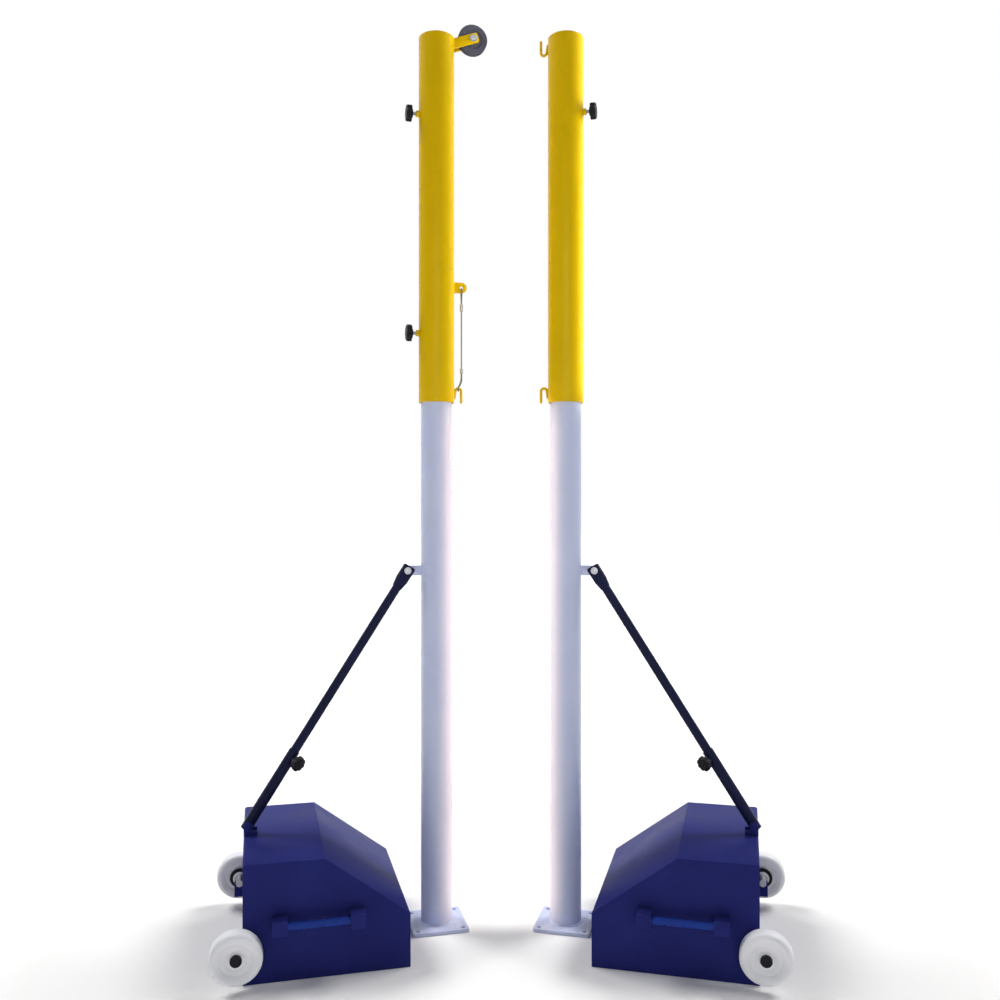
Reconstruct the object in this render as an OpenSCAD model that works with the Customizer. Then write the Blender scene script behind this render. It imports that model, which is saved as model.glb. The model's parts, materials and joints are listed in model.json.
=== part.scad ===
// A pair of free-standing volleyball posts on wheeled ballast boxes.
// Each unit is drawn in its own frame: the mast's axis is Z, the floor is
// z = 0, the net is on the +X side and the ballast box on the -X side.
// Lengths are in millimetres and angles in degrees.

/* [Pair] */
// Distance between the two mast axes as the pair stands
post_spacing = 370; // [340:10:2000]
// Turn of each unit that brings its box forward
toe = 14; // [0:1:30]

/* [Mast] */
// Height from the floor to the top of the sleeve's cap
post_h = 2535; // [2400:5:2700]
// Outside diameter of the mast tube
mast_d = 88.9; // [80:0.1:100]
// Wall of the mast tube
mast_wall = 3.2; // [2:0.1:5]
// Thickness of the plug's flange on top of the mast
plug_flange = 6; // [5:1:20]
// Depth of the plug inside the mast
plug_depth = 30; // [15:1:60]

/* [Sleeve] */
// Length of the sliding sleeve, cap included
sleeve_len = 1045; // [900:5:1200]
// Wall of the sleeve tube
sleeve_wall = 3; // [2:0.1:4]
// Space between mast and sleeve that the plastic guides fill
guide_gap = 3.35; // [2:0.05:5]
// Height of the guide ring in the sleeve's lower end
guide_h = 40; // [20:1:80]
// Thickness of the sleeve's cap
cap_t = 5; // [3:0.5:8]
// Way the sleeve slides down, from the upper to the lower net height
height_travel = 190; // [100:5:210]

/* [Foot plate] */
// Side of the square foot plate
plate_w = 160; // [140:1:170]
// Thickness of the foot plate
plate_t = 10; // [6:1:14]
// Diameter of the floor bolt holes
plate_hole_d = 12; // [9:0.5:14]
// Distance from a hole's centre to the plate's edges
plate_hole_edge = 16; // [12:1:20]
// Radius of the plate's corners
plate_corner_r = 6; // [2:1:10]

/* [Foot hinge] */
// Distance from the box's front wall to the hinge pin's axis
hinge_from_wall = 15; // [13:0.5:16]
// Radius of the hinge knuckle and of its ears
knuckle_r = 12; // [9:0.5:12.5]
// Diameter of the hinge pin
hinge_pin_d = 12; // [8:0.5:14]
// Width of the tongue that joins the foot plate to the hinge
tongue_w = 60; // [40:1:100]
// Thickness of the tongue's bar
tongue_t = 10; // [6:1:12]
// Thickness of one hinge ear
hinge_ear_t = 8; // [5:1:12]

/* [Ballast box] */
// Distance from the mast's axis to the box's front wall
box_gap = 112; // [108:1:160]
// Length of the box along the unit
box_l = 422; // [400:1:600]
// Width of the box across the unit
box_w = 490; // [460:1:700]
// Height of the box
box_h = 300; // [260:1:400]
// Height of the front wall, where the slope begins
box_front_h = 140; // [120:1:180]
// Length of the flat top
box_top_l = 203; // [150:1:260]
// Thickness of the sheet
sheet = 3; // [2:0.5:5]
// Outer radius of the folds
bend_r = 7; // [6:0.5:12]

/* [Ballast] */
// Space between the slabs' ends and the box's walls
slab_end_gap = 13; // [12:1:60]
// Space between the outer slabs and the side plates
slab_side_gap = 14; // [2:1:60]
// Thickness of one cast slab
slab_t = 42; // [20:1:50]
// Slabs side by side
slab_rows = 3; // [1:1:3]
// Slabs on top of each other
slab_layers = 2; // [1:1:2]
// Space between slabs side by side
slab_space = 6; // [2:1:8]

/* [Handles] */
// Distance from the mast's axis to the handle's middle
handle_x = 347; // [330:1:360]
// Height of the handle's bar
handle_z = 150; // [60:1:200]
// Distance between the two brackets' middles
handle_span = 193; // [150:1:220]
// Diameter of the bar
handle_d = 19; // [14:0.5:24]
// Distance from the box's side to the bar's axis
handle_stand = 31; // [28:1:40]
// Length of a bracket along the bar
bracket_w = 38; // [25:1:45]
// Height of a bracket
bracket_h = 36; // [28:1:50]
// Material beyond the bar's surface at the bracket's front
bracket_lip = 5.5; // [3:0.5:10]

/* [Wheels] */
// Diameter of a transport wheel
wheel_d = 130; // [100:1:150]
// Width of a wheel
wheel_t = 45; // [30:1:60]
// Height of a wheel's tread above the floor while the box stands
wheel_lift = 23; // [5:1:40]
// Rounding of the tread's edges
wheel_edge_r = 11; // [5:1:14]
// Depth of the dish in a wheel's faces
wheel_dish = 4; // [2:0.5:8]
// Radius of the flat hub in the dish
wheel_hub_r = 24; // [20:1:32]
// Gap between the box's side and a wheel
wheel_gap = 10; // [8:0.5:20]
// Diameter of the axle
axle_d = 20; // [14:0.5:24]
// Distance from the box's end wall to the axle's middle
axle_out = 15; // [13:0.5:20]

/* [Strut] */
// Height of the lug's pivot above the floor
lug_z = 1012; // [900:1:1100]
// Distance from the mast's surface to the lug's pivot
lug_reach = 39.5; // [36:0.5:60]
// Thickness of the lug
lug_t = 10; // [6:1:12]
// Height of the strut's foot pivot above the box's top
strut_foot_h = 24; // [23:1:40]
// Radius of the foot ears round their pivot
strut_ear_r = 12; // [10:0.5:14]
// Thickness of one foot ear
strut_ear_t = 5; // [3:0.5:8]
// Outside diameter of the strut's inner, upper tube
strut_d = 25; // [20:0.5:28]
// Wall of both strut tubes
strut_wall = 2.4; // [1.5:0.1:4]
// Length of the lower tube beyond the clamp
strut_lower_end = 22; // [15:1:40]
// Distance from the foot pivot to the strut's clamp
strut_clamp_at = 210; // [160:1:300]
// Distance from the foot pivot to the upper tube's lower end
strut_inner_start = 75; // [60:1:120]
// Turn of the clamp from the strut's side towards its underside
strut_clamp_turn = 40; // [0:1:90]

/* [Clamp knobs] */
// Diameter of the knobs' threaded studs
stud_d = 10; // [8:0.5:12]
// Diameter of the sleeve's knobs
knob_d = 48; // [36:1:60]
// Diameter of the strut's knob
strut_knob_d = 42; // [34:1:50]
// Height of a knob's head
knob_h = 18; // [14:1:24]
// Length of a welded boss that holds a stud
boss_l = 9; // [6:1:14]
// Bare stud between a boss and its knob
stud_bare = 9; // [4:1:20]
// Distance from the mast's top down to the left upper stud
knob_drop_left = 15; // [10:1:60]
// Distance from the mast's top down to the right stud
knob_drop_right = 9; // [8:1:60]
// Distance from the sleeve's lower end up to the lower stud
knob_rise = 198; // [120:1:400]

/* [Net fittings] */
// Diameter of the hooks' wire
hook_wire_d = 8; // [6:0.5:10]
// Radius of a hook's bend, to the middle of the wire
hook_bend_r = 8.6; // [8:0.1:14]
// Length of a hook's free leg
hook_leg = 35; // [20:1:60]
// Distance from the sleeve's top down to the upper hook's tip
hook_drop = 0; // [0:1:80]
// Diameter of the net pulley
pulley_d = 85; // [60:1:100]
// Width of the net pulley
pulley_w = 20; // [14:1:30]
// Depth of the pulley's groove
groove_depth = 8; // [4:0.5:12]
// Distance from the sleeve's surface to the pulley's pin
pulley_reach = 54; // [52:1:70]
// Distance from the sleeve's top down to the arms' root
arm_drop = 15; // [15:1:80]
// Height of the pulley's arms
arm_h = 28; // [24:1:28]
// Rise of the arms towards the pulley
arm_rise = 20; // [0:1:20]
// Thickness of one arm
arm_t = 5; // [3:0.5:8]
// Distance from the sleeve's lower end up to the tension lug
tension_lug_rise = 333; // [250:1:400]
// Distance from the sleeve's surface to the tension lug's eye
tension_reach = 22; // [20:0.5:30]
// Outer radius of the tension lug's end
tension_lug_r = 15; // [12:0.5:18]
// Thickness of the tension lug
tension_lug_t = 8; // [5:0.5:10]
// Diameter of the steel tension cord
cord_d = 4; // [3:0.5:5]

/* [Hidden] */
$fn = 48;

left = -1;
right = 1;
near = -1;
far = 1;

// Clearances: running fits, seats within one welded unit, and gaps beside moving pieces
run_clear = 0.08;
seat_clear = 0.05;
tip_clear = 0.3;
side_clear = 1;
pivot_clear = 0.8;

// Colours as the object shows them
navy = [0.08, 0.09, 0.30];
handle_blue = [0.10, 0.16, 0.45];
yellow = [0.85, 0.68, 0.03];
white_paint = [0.90, 0.90, 0.93];
nylon = [0.93, 0.92, 0.90];
black_plastic = [0.08, 0.08, 0.09];
slate_plastic = [0.27, 0.27, 0.34];
zinc = [0.70, 0.70, 0.72];
cast_grey = [0.30, 0.30, 0.31];

// Sleeve and mast
mast_r = mast_d / 2;
mast_bore_d = mast_d - 2 * mast_wall;
sleeve_bore_d = mast_d + 2 * guide_gap;
sleeve_d = sleeve_bore_d + 2 * sleeve_wall;
sleeve_r = sleeve_d / 2;
sleeve_bottom = post_h - sleeve_len;
cap_under = post_h - cap_t;
mast_top = cap_under - cap_t - side_clear - height_travel - plug_flange;
guide_inset = 2;
cap_edge_r = 4;
knob_left_upper_z = mast_top - knob_drop_left;
knob_right_z = mast_top - knob_drop_right;
knob_left_lower_z = sleeve_bottom + knob_rise;

// Box
box_far = box_gap + box_l;
box_outline = [
    [-box_far, 0], [-box_gap, 0], [-box_gap, box_front_h], [-box_far + box_top_l, box_h], [-box_far, box_h]
];
fold_radii = [0, 0, 1, 1, 1];

// Ballast slabs, from the room that the gaps leave
slab_l = box_l - 2 * sheet - 2 * slab_end_gap;
slab_room = box_w - 2 * sheet - 2 * slab_side_gap - (slab_rows - 1) * slab_space;
slab_w = slab_room / slab_rows;

// Handles
handle_y = box_w / 2 + handle_stand;
bracket_depth = handle_stand + handle_d / 2 + bracket_lip;
bracket_wall = 2 * sheet;

// Foot hinge
hinge_floor_gap = 2;
hinge_play = 0.5;
hinge_x = -(box_gap - hinge_from_wall);
hinge_z = knuckle_r + hinge_floor_gap;

// Wheels
wheel_r = wheel_d / 2;
axle_x = -(box_far + axle_out);
axle_z = wheel_r + wheel_lift;
wheel_inner_y = box_w / 2 + wheel_gap;
wheel_outer_y = wheel_inner_y + wheel_t;
washer_t = 2.5;
washer_r = 28;
washer_y = wheel_inner_y - tip_clear - washer_t;
collar_r = 19;
saddle_w = 1.4 * axle_d;
saddle_h = 1.9 * axle_d;
saddle_inset = 0.6 * axle_d;
saddle_wrap = 0.2 * axle_d;
cap_wall = 4.5;
cap_depth = 9;
cap_bevel = 3;

// Strut, drawn along +Z from its foot pivot
strut_foot_x = -(box_far - strut_ear_r);
strut_foot_z = box_h + strut_foot_h;
lug_x = -(mast_r + lug_reach);
strut_dx = lug_x - strut_foot_x;
strut_dz = lug_z - strut_foot_z;
strut_len = norm([strut_dx, strut_dz]);
strut_lean = atan2(strut_dx, strut_dz);
strut_outer_bore = strut_d + 2 * run_clear;
strut_outer_d = strut_outer_bore + 2 * strut_wall;
strut_tail = 13;
strut_foot_grip = strut_outer_d + 2 * side_clear + 2 * strut_ear_t;
head_len = 58;
head_flare = 28;
head_half_w = 17;
head_tip = 14;
head_bevel = 3;
head_collar = 10;
head_plug = 18;
cheek_t = 4;
lug_r = 14;
pivot_bolt_d = 10;

// Knobs and bosses
boss_d = stud_d + 8;
knob_neck_h = 3;
knob_rim_r = 5;
knob_bevel = 2;
knob_lobes = 8;
stud_tip = mast_r + tip_clear;
knob_seat = sleeve_r + boss_l + stud_bare;

// Net fittings
hook_x = sleeve_r + seat_clear + hook_wire_d / 2 + hook_bend_r;
hook_weld_leg = 23;
hook_low_z = sleeve_bottom + hook_leg;
hook_high_z = post_h - hook_drop - hook_leg;
pulley_x = sleeve_r + pulley_reach;
arm_z = post_h - arm_drop;
pulley_z = arm_z + (pulley_x - sleeve_r) * tan(arm_rise);
arm_y = pulley_w / 2 + side_clear + arm_t / 2;
arm_tip = 15;
pulley_bolt_d = 10;
tension_x = sleeve_r + tension_reach;
tension_z = sleeve_bottom + tension_lug_rise;
eye_r = 5;
left_knob_heights = [knob_left_upper_z, knob_left_lower_z];

// Tension cord: a loop through the lug's eye, one strand down, a loop round the lower hook
cord_clear = 0.8;
strand_y = cord_d / 2 + 0.15;
strand_play = 0.6;
eye_bend_r = cord_d / 2 + tip_clear;
cord_top_z = tension_z - eye_r + eye_bend_r;
eye_loop_y = tension_lug_t / 2 + eye_bend_r;
ferrule_d = 2.5 * cord_d;
upper_ferrule_drop = 32;
upper_ferrule_l = 20;
upper_ferrule_z = tension_z - tension_lug_r - upper_ferrule_drop;
lower_ferrule_rise = 101;
lower_ferrule_l = 14;
lower_ferrule_z = sleeve_bottom + lower_ferrule_rise;
loop_top_z = lower_ferrule_z - lower_ferrule_l;
hook_top_z = hook_low_z + hook_bend_r;
hook_loop_r = hook_wire_d / 2 + cord_d / 2 + cord_clear;

// The pair's place: the middle of its depth is y = 0
depth_back = -(handle_x - handle_span / 2 - bracket_w / 2) * sin(toe)
    + (box_w / 2 + handle_stand + handle_d / 2 + bracket_lip) * cos(toe);
depth_front = (-axle_x + wheel_r - wheel_edge_r) * sin(toe)
    + (wheel_outer_y - wheel_edge_r) * cos(toe) + wheel_edge_r;
pair_back = (depth_front - depth_back) / 2;

// Unit vector along v
function unit(v) = v / norm(v);

// Half the angle at corner b between its neighbours a and c
function half_angle(a, b, c) = acos(unit(a - b) * unit(c - b)) / 2;

// Point inside corner b at the distance t from both of its edges
function inset_point(a, b, c, t) =
    b + unit(unit(a - b) + unit(c - b)) * t / sin(half_angle(a, b, c));

// Points of the arc of radius r that rounds corner b of a convex outline
function corner_arc(a, b, c, r, steps = 6) =
    let (
        middle = inset_point(a, b, c, r),
        start = b + unit(a - b) * r / tan(half_angle(a, b, c)) - middle,
        from = atan2(start[1], start[0]),
        sweep = 180 - 2 * half_angle(a, b, c)
    )
    [for (i = [0:steps]) middle + r * [cos(from + sweep * i / steps), sin(from + sweep * i / steps)]];

function before(points, i) = points[(i + len(points) - 1) % len(points)];
function after(points, i) = points[(i + 1) % len(points)];

// Outline with corner i rounded by r where marks[i] is 1
function rounded(points, marks, r) = [
    for (i = [0:len(points) - 1])
        each marks[i] == 1 ? corner_arc(before(points, i), points[i], after(points, i), r) : [points[i]]
];

// Outline moved inwards by t on every side
function inset(points, t) = [
    for (i = [0:len(points) - 1]) inset_point(before(points, i), points[i], after(points, i), t)
];

function reversed(points) = [for (i = [len(points) - 1:-1:0]) points[i]];

// Outline of a turned piece whose two faces are alike, from one face's radii and heights
function both_faces(face) = concat(face, [for (p = reversed(face)) [p[0], -p[1]]]);

// Puts a unit's piece where the left or the right unit stands
module stand(side)
{
    translate([0, pair_back, 0])
        mirror([side == right ? 1 : 0, 0, 0])
            translate([-post_spacing / 2, 0, 0])
                rotate([0, 0, toe])
                    children();
}

module stand_both()
{
    stand(left)
        children();
    stand(right)
        children();
}

// Plate of thickness t whose outline is drawn in x and z
module upright(t)
{
    rotate([90, 0, 0])
        linear_extrude(t, center = true)
            children();
}

module tube(outer, inner, h)
{
    difference() {
        cylinder(d = outer, h = h);
        translate([0, 0, -1])
            cylinder(d = inner, h = h + 2);
    }
}

// Cylinder along Y, centred on the origin
module cross_rod(d, length)
{
    rotate([90, 0, 0])
        cylinder(d = d, h = length, center = true);
}

// Hexagon bolt along Y with its head on the near side and its nut on the far side
module cross_bolt(d, grip)
{
    head_h = 0.65 * d;
    nut_h = 0.8 * d;
    across_corners = 1.9 * d;
    cross_rod(d, grip);
    translate([0, -grip / 2, 0])
        rotate([90, 0, 0])
            cylinder(d = across_corners, h = head_h, $fn = 6);
    translate([0, grip / 2 + nut_h, 0])
        rotate([90, 0, 0])
            cylinder(d = across_corners, h = nut_h, $fn = 6);
}

// Folded sheet of the box: end wall, top, slope and front wall in one piece
module ballast_box()
{
    color(navy)
        upright(box_w - 2 * sheet)
            difference() {
                polygon(rounded(box_outline, fold_radii, bend_r));
                polygon(rounded(inset(box_outline, sheet), fold_radii, bend_r - sheet));
                translate([-box_far + sheet, -1])
                    square([box_l - 2 * sheet, 2 * sheet]);
            }
}

module box_side_plates()
{
    color(navy)
        for (side = [near, far])
            translate([0, side * (box_w - sheet) / 2, 0])
                upright(sheet)
                    polygon(rounded(box_outline, fold_radii, bend_r));
}

module box_floor()
{
    color(navy)
        translate([-box_far + sheet, -box_w / 2 + sheet, 0])
            cube([box_l - 2 * sheet, box_w - 2 * sheet, sheet]);
}

module ballast_slabs()
{
    row_step = slab_w + slab_space;
    color(cast_grey)
        for (row = [0:slab_rows - 1])
            for (layer = [0:slab_layers - 1])
                translate([
                    -box_gap - box_l / 2,
                    (row - (slab_rows - 1) / 2) * row_step,
                    sheet + layer * slab_t + slab_t / 2
                ])
                    cube([slab_l, slab_w, slab_t], center = true);
}

module handle_bars()
{
    color(handle_blue)
        for (side = [near, far])
            translate([-handle_x, side * handle_y, handle_z])
                rotate([0, 90, 0])
                    cylinder(d = handle_d, h = handle_span - bracket_w + 2 * bracket_wall, center = true);
}

// Pressed steel cup, open towards the box, with a hole for the bar in its inner wall
module handle_bracket(side, end)
{
    middle_x = -handle_x + end * handle_span / 2;
    middle_y = side * (box_w + bracket_depth) / 2;
    bore_l = handle_span - bracket_w + 2 * bracket_wall;
    difference() {
        translate([middle_x, middle_y, handle_z])
            cube([bracket_w, bracket_depth, bracket_h], center = true);
        translate([middle_x, middle_y - side * sheet, handle_z])
            cube([bracket_w - 2 * bracket_wall, bracket_depth, bracket_h - 2 * sheet], center = true);
        translate([-handle_x, side * handle_y, handle_z])
            rotate([0, 90, 0])
                cylinder(d = handle_d + 2 * seat_clear, h = bore_l, center = true);
    }
}

module handle_brackets()
{
    color(navy)
        for (side = [near, far])
            for (end = [-1, 1])
                handle_bracket(side, end);
}

// Two stub axles, each from the inner face of its saddle block to its end cap
module stub_axles()
{
    inner_y = box_w / 2 - saddle_inset - saddle_w;
    outer_y = wheel_outer_y - wheel_dish + cap_depth - cap_wall;
    color(zinc)
        for (side = [near, far])
            translate([axle_x, side * (inner_y + outer_y) / 2, axle_z])
                cross_rod(axle_d, outer_y - inner_y);
}

// Blocks welded to the end wall that carry the stub axles in half-round seats cut in their tops
module axle_saddles()
{
    saddle_out = axle_out + axle_d / 2 + saddle_wrap;
    color(navy)
        difference() {
            for (side = [near, far])
                translate([
                    -box_far - saddle_out,
                    side * (box_w / 2 - saddle_inset - saddle_w / 2) - saddle_w / 2,
                    axle_z - saddle_h
                ])
                    cube([saddle_out, saddle_w, saddle_h]);
            translate([axle_x, 0, axle_z])
                cross_rod(axle_d + 2 * seat_clear, box_w);
        }
}

// Ring round the axle from the distance y_in to y_out on both sides of the unit
module axle_rings(r, y_in, y_out)
{
    for (side = [near, far])
        translate([axle_x, side * (y_in + y_out) / 2, axle_z])
            rotate([90, 0, 0])
                translate([0, 0, -(y_out - y_in) / 2])
                    tube(2 * r, axle_d + 2 * seat_clear, y_out - y_in);
}

module axle_collars()
{
    color(zinc)
        axle_rings(collar_r, box_w / 2 + side_clear, washer_y);
}

module axle_washers()
{
    color(black_plastic)
        axle_rings(washer_r, washer_y, washer_y + washer_t);
}

module axle_end_caps()
{
    inner_r = axle_d / 2 + seat_clear;
    outer_r = inner_r + cap_wall;
    start = wheel_outer_y - wheel_dish + tip_clear;
    color(black_plastic)
        for (side = [near, far])
            translate([axle_x, side * start, axle_z])
                rotate([-90 * side, 0, 0])
                    rotate_extrude()
                        polygon([
                            [inner_r, 0], [outer_r, 0], [outer_r, cap_depth - cap_bevel],
                            [outer_r - cap_bevel, cap_depth], [0, cap_depth],
                            [0, cap_depth - cap_wall], [inner_r, cap_depth - cap_wall]
                        ]);
}

// Solid nylon wheel with rounded tread edges and dished faces
module wheel(side)
{
    half = wheel_t / 2;
    bore_r = axle_d / 2 + run_clear;
    flank_r = wheel_r - wheel_edge_r;
    edge = [for (a = [0:15:90]) [flank_r, half - wheel_edge_r] + wheel_edge_r * [sin(a), cos(a)]];
    face = concat([[bore_r, half - wheel_dish], [wheel_hub_r, half - wheel_dish]], edge);
    color(nylon)
        translate([axle_x, side * (wheel_inner_y + half), axle_z])
            rotate([90, 0, 0])
                rotate_extrude()
                    polygon(both_faces(face));
}

// Ears welded on the box's top that hold the strut's foot
module strut_foot_ears()
{
    color(navy)
        for (side = [near, far])
            translate([strut_foot_x, side * (strut_outer_d / 2 + side_clear + strut_ear_t / 2), strut_foot_z])
                difference() {
                    union() {
                        cross_rod(2 * strut_ear_r, strut_ear_t);
                        translate([-strut_ear_r, -strut_ear_t / 2, -strut_foot_h])
                            cube([3 * strut_ear_r, strut_ear_t, strut_ear_r]);
                        translate([-strut_ear_r, -strut_ear_t / 2, -strut_foot_h])
                            cube([2 * strut_ear_r, strut_ear_t, strut_foot_h]);
                    }
                    cross_rod(pivot_bolt_d + 2 * seat_clear, 2 * strut_ear_t);
                }
}

module strut_foot_bolt()
{
    color(zinc)
        translate([strut_foot_x, 0, strut_foot_z])
            cross_bolt(pivot_bolt_d, strut_foot_grip);
}

// Ears welded on the front wall that hold the foot hinge's pin
module foot_hinge_ears()
{
    color(navy)
        for (side = [near, far])
            translate([hinge_x, side * (tongue_w / 2 + hinge_play + hinge_ear_t / 2), hinge_z])
                difference() {
                    union() {
                        cross_rod(2 * knuckle_r, hinge_ear_t);
                        translate([-hinge_from_wall, -hinge_ear_t / 2, -knuckle_r])
                            cube([hinge_from_wall, hinge_ear_t, 2 * knuckle_r]);
                    }
                    cross_rod(hinge_pin_d + 2 * seat_clear, 2 * hinge_ear_t);
                }
}

module foot_hinge_pin()
{
    color(zinc)
        translate([hinge_x, 0, hinge_z])
            cross_bolt(hinge_pin_d, tongue_w + 2 * hinge_play + 2 * hinge_ear_t);
}

// Square foot plate with rounded corners and four floor bolt holes
module foot_plate()
{
    half = plate_w / 2;
    hole_at = half - plate_hole_edge;
    corner_at = half - plate_corner_r;
    color(white_paint)
        difference() {
            union() {
                translate([-half, -corner_at, 0])
                    cube([plate_w, 2 * corner_at, plate_t]);
                translate([-corner_at, -half, 0])
                    cube([2 * corner_at, plate_w, plate_t]);
                for (x = [-corner_at, corner_at])
                    for (y = [-corner_at, corner_at])
                        translate([x, y, 0])
                            cylinder(r = plate_corner_r, h = plate_t);
            }
            for (x = [-hole_at, hole_at])
                for (y = [-hole_at, hole_at])
                    translate([x, y, -1])
                        cylinder(d = plate_hole_d, h = plate_t + 2);
        }
}

// Bar with a knuckle that joins the foot plate to the hinge
module foot_tongue()
{
    bar_l = -plate_w / 2 - hinge_x;
    color(white_paint)
        difference() {
            translate([hinge_x, 0, 0])
                union() {
                    translate([0, 0, hinge_z])
                        cross_rod(2 * knuckle_r, tongue_w);
                    translate([0, -tongue_w / 2, 0])
                        cube([bar_l, tongue_w, tongue_t]);
                }
            translate([hinge_x, 0, hinge_z])
                cross_rod(hinge_pin_d + 2 * run_clear, tongue_w + 2);
        }
}

module mast_tube()
{
    color(white_paint)
        translate([0, 0, plate_t])
            tube(mast_d, mast_bore_d, mast_top - plate_t);
}

// Plastic plug in the mast's top, whose flange guides the sleeve
module mast_plug()
{
    color(black_plastic) {
        translate([0, 0, mast_top])
            cylinder(d = sleeve_bore_d - 2 * run_clear, h = plug_flange);
        translate([0, 0, mast_top - plug_depth])
            cylinder(d = mast_bore_d - 2 * seat_clear, h = plug_depth);
    }
}

module strut_lug()
{
    color(white_paint)
        difference() {
            union() {
                translate([lug_x, 0, lug_z])
                    cross_rod(2 * lug_r, lug_t);
                translate([lug_x, -lug_t / 2, lug_z - lug_r])
                    cube([lug_reach + mast_wall, lug_t, 2 * lug_r]);
            }
            translate([lug_x, 0, lug_z])
                cross_rod(pivot_bolt_d + 2 * pivot_clear, 2 * lug_t);
            translate([0, 0, lug_z - 2 * lug_r])
                cylinder(d = mast_d, h = 4 * lug_r);
        }
}

// Puts a piece drawn along +Z from the origin along the strut from its foot pivot
module along_strut()
{
    translate([strut_foot_x, 0, strut_foot_z])
        rotate([0, strut_lean, 0])
            children();
}

// Turns a piece drawn along +Z into the direction of the strut's clamp
module at_strut_clamp()
{
    along_strut()
        translate([0, 0, strut_clamp_at])
            rotate([0, 0, strut_clamp_turn])
                rotate([90, 0, 0])
                    children();
}

// Outer, lower tube with its clamp boss and the cross hole for the foot bolt
module strut_lower_tube()
{
    color(navy)
        difference() {
            union() {
                along_strut()
                    translate([0, 0, -strut_tail])
                        cylinder(d = strut_outer_d, h = strut_tail + strut_clamp_at + strut_lower_end);
                at_strut_clamp()
                    cylinder(d = boss_d, h = strut_outer_d / 2 + boss_l);
            }
            along_strut()
                translate([0, 0, -strut_tail - 1])
                    cylinder(d = strut_outer_bore, h = strut_tail + strut_clamp_at + strut_lower_end + 2);
            along_strut()
                cross_rod(pivot_bolt_d + 2 * run_clear, 2 * strut_outer_d);
            at_strut_clamp()
                cylinder(d = stud_d + 2 * run_clear, h = strut_outer_d + boss_l);
        }
}

module strut_upper_tube()
{
    color(navy)
        along_strut()
            translate([0, 0, strut_inner_start])
                tube(strut_d, strut_d - 2 * strut_wall, strut_len - head_len - strut_inner_start);
}

// Fork welded in the upper tube's end: a plug, a collar and two flared cheeks
module strut_head()
{
    cheek_y = lug_t / 2 + side_clear + cheek_t / 2;
    right_half = [
        [strut_d / 2, 1 - head_len], [head_half_w, head_flare - head_len],
        [head_half_w, head_tip - head_bevel], [head_half_w - head_bevel, head_tip]
    ];
    left_half = [for (p = reversed(right_half)) [-p[0], p[1]]];
    color(navy)
        along_strut()
            translate([0, 0, strut_len])
                difference() {
                    union() {
                        translate([0, 0, -head_len - head_plug])
                            cylinder(d = strut_d - 2 * strut_wall - 2 * seat_clear, h = head_plug);
                        translate([0, 0, -head_len])
                            cylinder(d = strut_d, h = head_collar);
                        for (side = [near, far])
                            translate([0, side * cheek_y, 0])
                                upright(cheek_t)
                                    polygon(concat(right_half, left_half));
                    }
                    cross_rod(pivot_bolt_d + 2 * seat_clear, 2 * strut_d);
                }
}

module strut_head_bolt()
{
    color(zinc)
        translate([lug_x, 0, lug_z])
            cross_bolt(pivot_bolt_d, lug_t + 2 * side_clear + 2 * cheek_t);
}

// Clamp screw along +Z: a stud from the height tip and a lobed knob from the height seat
module screw_knob(d, tip, seat)
{
    r = d / 2;
    neck_r = 0.25 * d;
    lobe_r = 0.16 * d;
    under = seat + knob_neck_h;
    top = under + knob_h;
    rim_middle = [r - knob_rim_r, top - knob_bevel - knob_rim_r];
    crown = [for (a = [0:15:75]) rim_middle + knob_rim_r * [cos(a), sin(a)]];
    translate([0, 0, tip])
        cylinder(d = stud_d, h = seat - tip + 1);
    difference() {
        rotate_extrude()
            polygon([
                [0, seat], [neck_r, seat], [neck_r, under], [r - knob_bevel, under], [r, under + knob_bevel],
                each crown, [0, top]
            ]);
        for (i = [0:knob_lobes - 1])
            rotate([0, 0, 360 / knob_lobes * (i + 0.5)])
                translate([r + 0.62 * lobe_r, 0, under - 1])
                    cylinder(r = lobe_r, h = knob_h + 2);
    }
}

module clamp_knob(z)
{
    color(black_plastic)
        translate([0, 0, z])
            rotate([0, -90, 0])
                screw_knob(knob_d, stud_tip, knob_seat);
}

module strut_knob()
{
    color(black_plastic)
        at_strut_clamp()
            screw_knob(strut_knob_d, strut_d / 2 + tip_clear, strut_outer_d / 2 + boss_l + 1);
}

// Sliding sleeve with a hole for each clamp stud
module sleeve(heights)
{
    color(yellow)
        difference() {
            translate([0, 0, sleeve_bottom])
                tube(sleeve_d, sleeve_bore_d, cap_under - sleeve_bottom);
            for (z = heights)
                translate([0, 0, z])
                    rotate([0, -90, 0])
                        cylinder(d = stud_d + 1, h = sleeve_d);
        }
}

module sleeve_cap()
{
    edge = [for (a = [0:15:90]) [sleeve_r - cap_edge_r, cap_t - cap_edge_r] + cap_edge_r * [cos(a), sin(a)]];
    spigot_r = sleeve_bore_d / 2 - seat_clear;
    spigot = [[0, -cap_t], [spigot_r, -cap_t], [spigot_r, 0], [sleeve_r, 0]];
    color(yellow)
        translate([0, 0, cap_under])
            rotate_extrude()
                polygon([each spigot, each edge, [0, cap_t]]);
}

module sleeve_guide()
{
    color(black_plastic)
        translate([0, 0, sleeve_bottom + guide_inset])
            tube(sleeve_bore_d - 2 * seat_clear, mast_d + 2 * run_clear, guide_h);
}

// Nuts welded on the sleeve that hold the clamp studs
module knob_bosses(heights)
{
    color(yellow)
        for (z = heights)
            translate([0, 0, z])
                difference() {
                    rotate([0, -90, 0])
                        cylinder(d = boss_d, h = sleeve_r + boss_l);
                    rotate([0, -90, 0])
                        cylinder(d = stud_d + 2 * run_clear, h = sleeve_r + boss_l + 1);
                    cylinder(r = sleeve_r, h = 2 * boss_d, center = true);
                }
}

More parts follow.
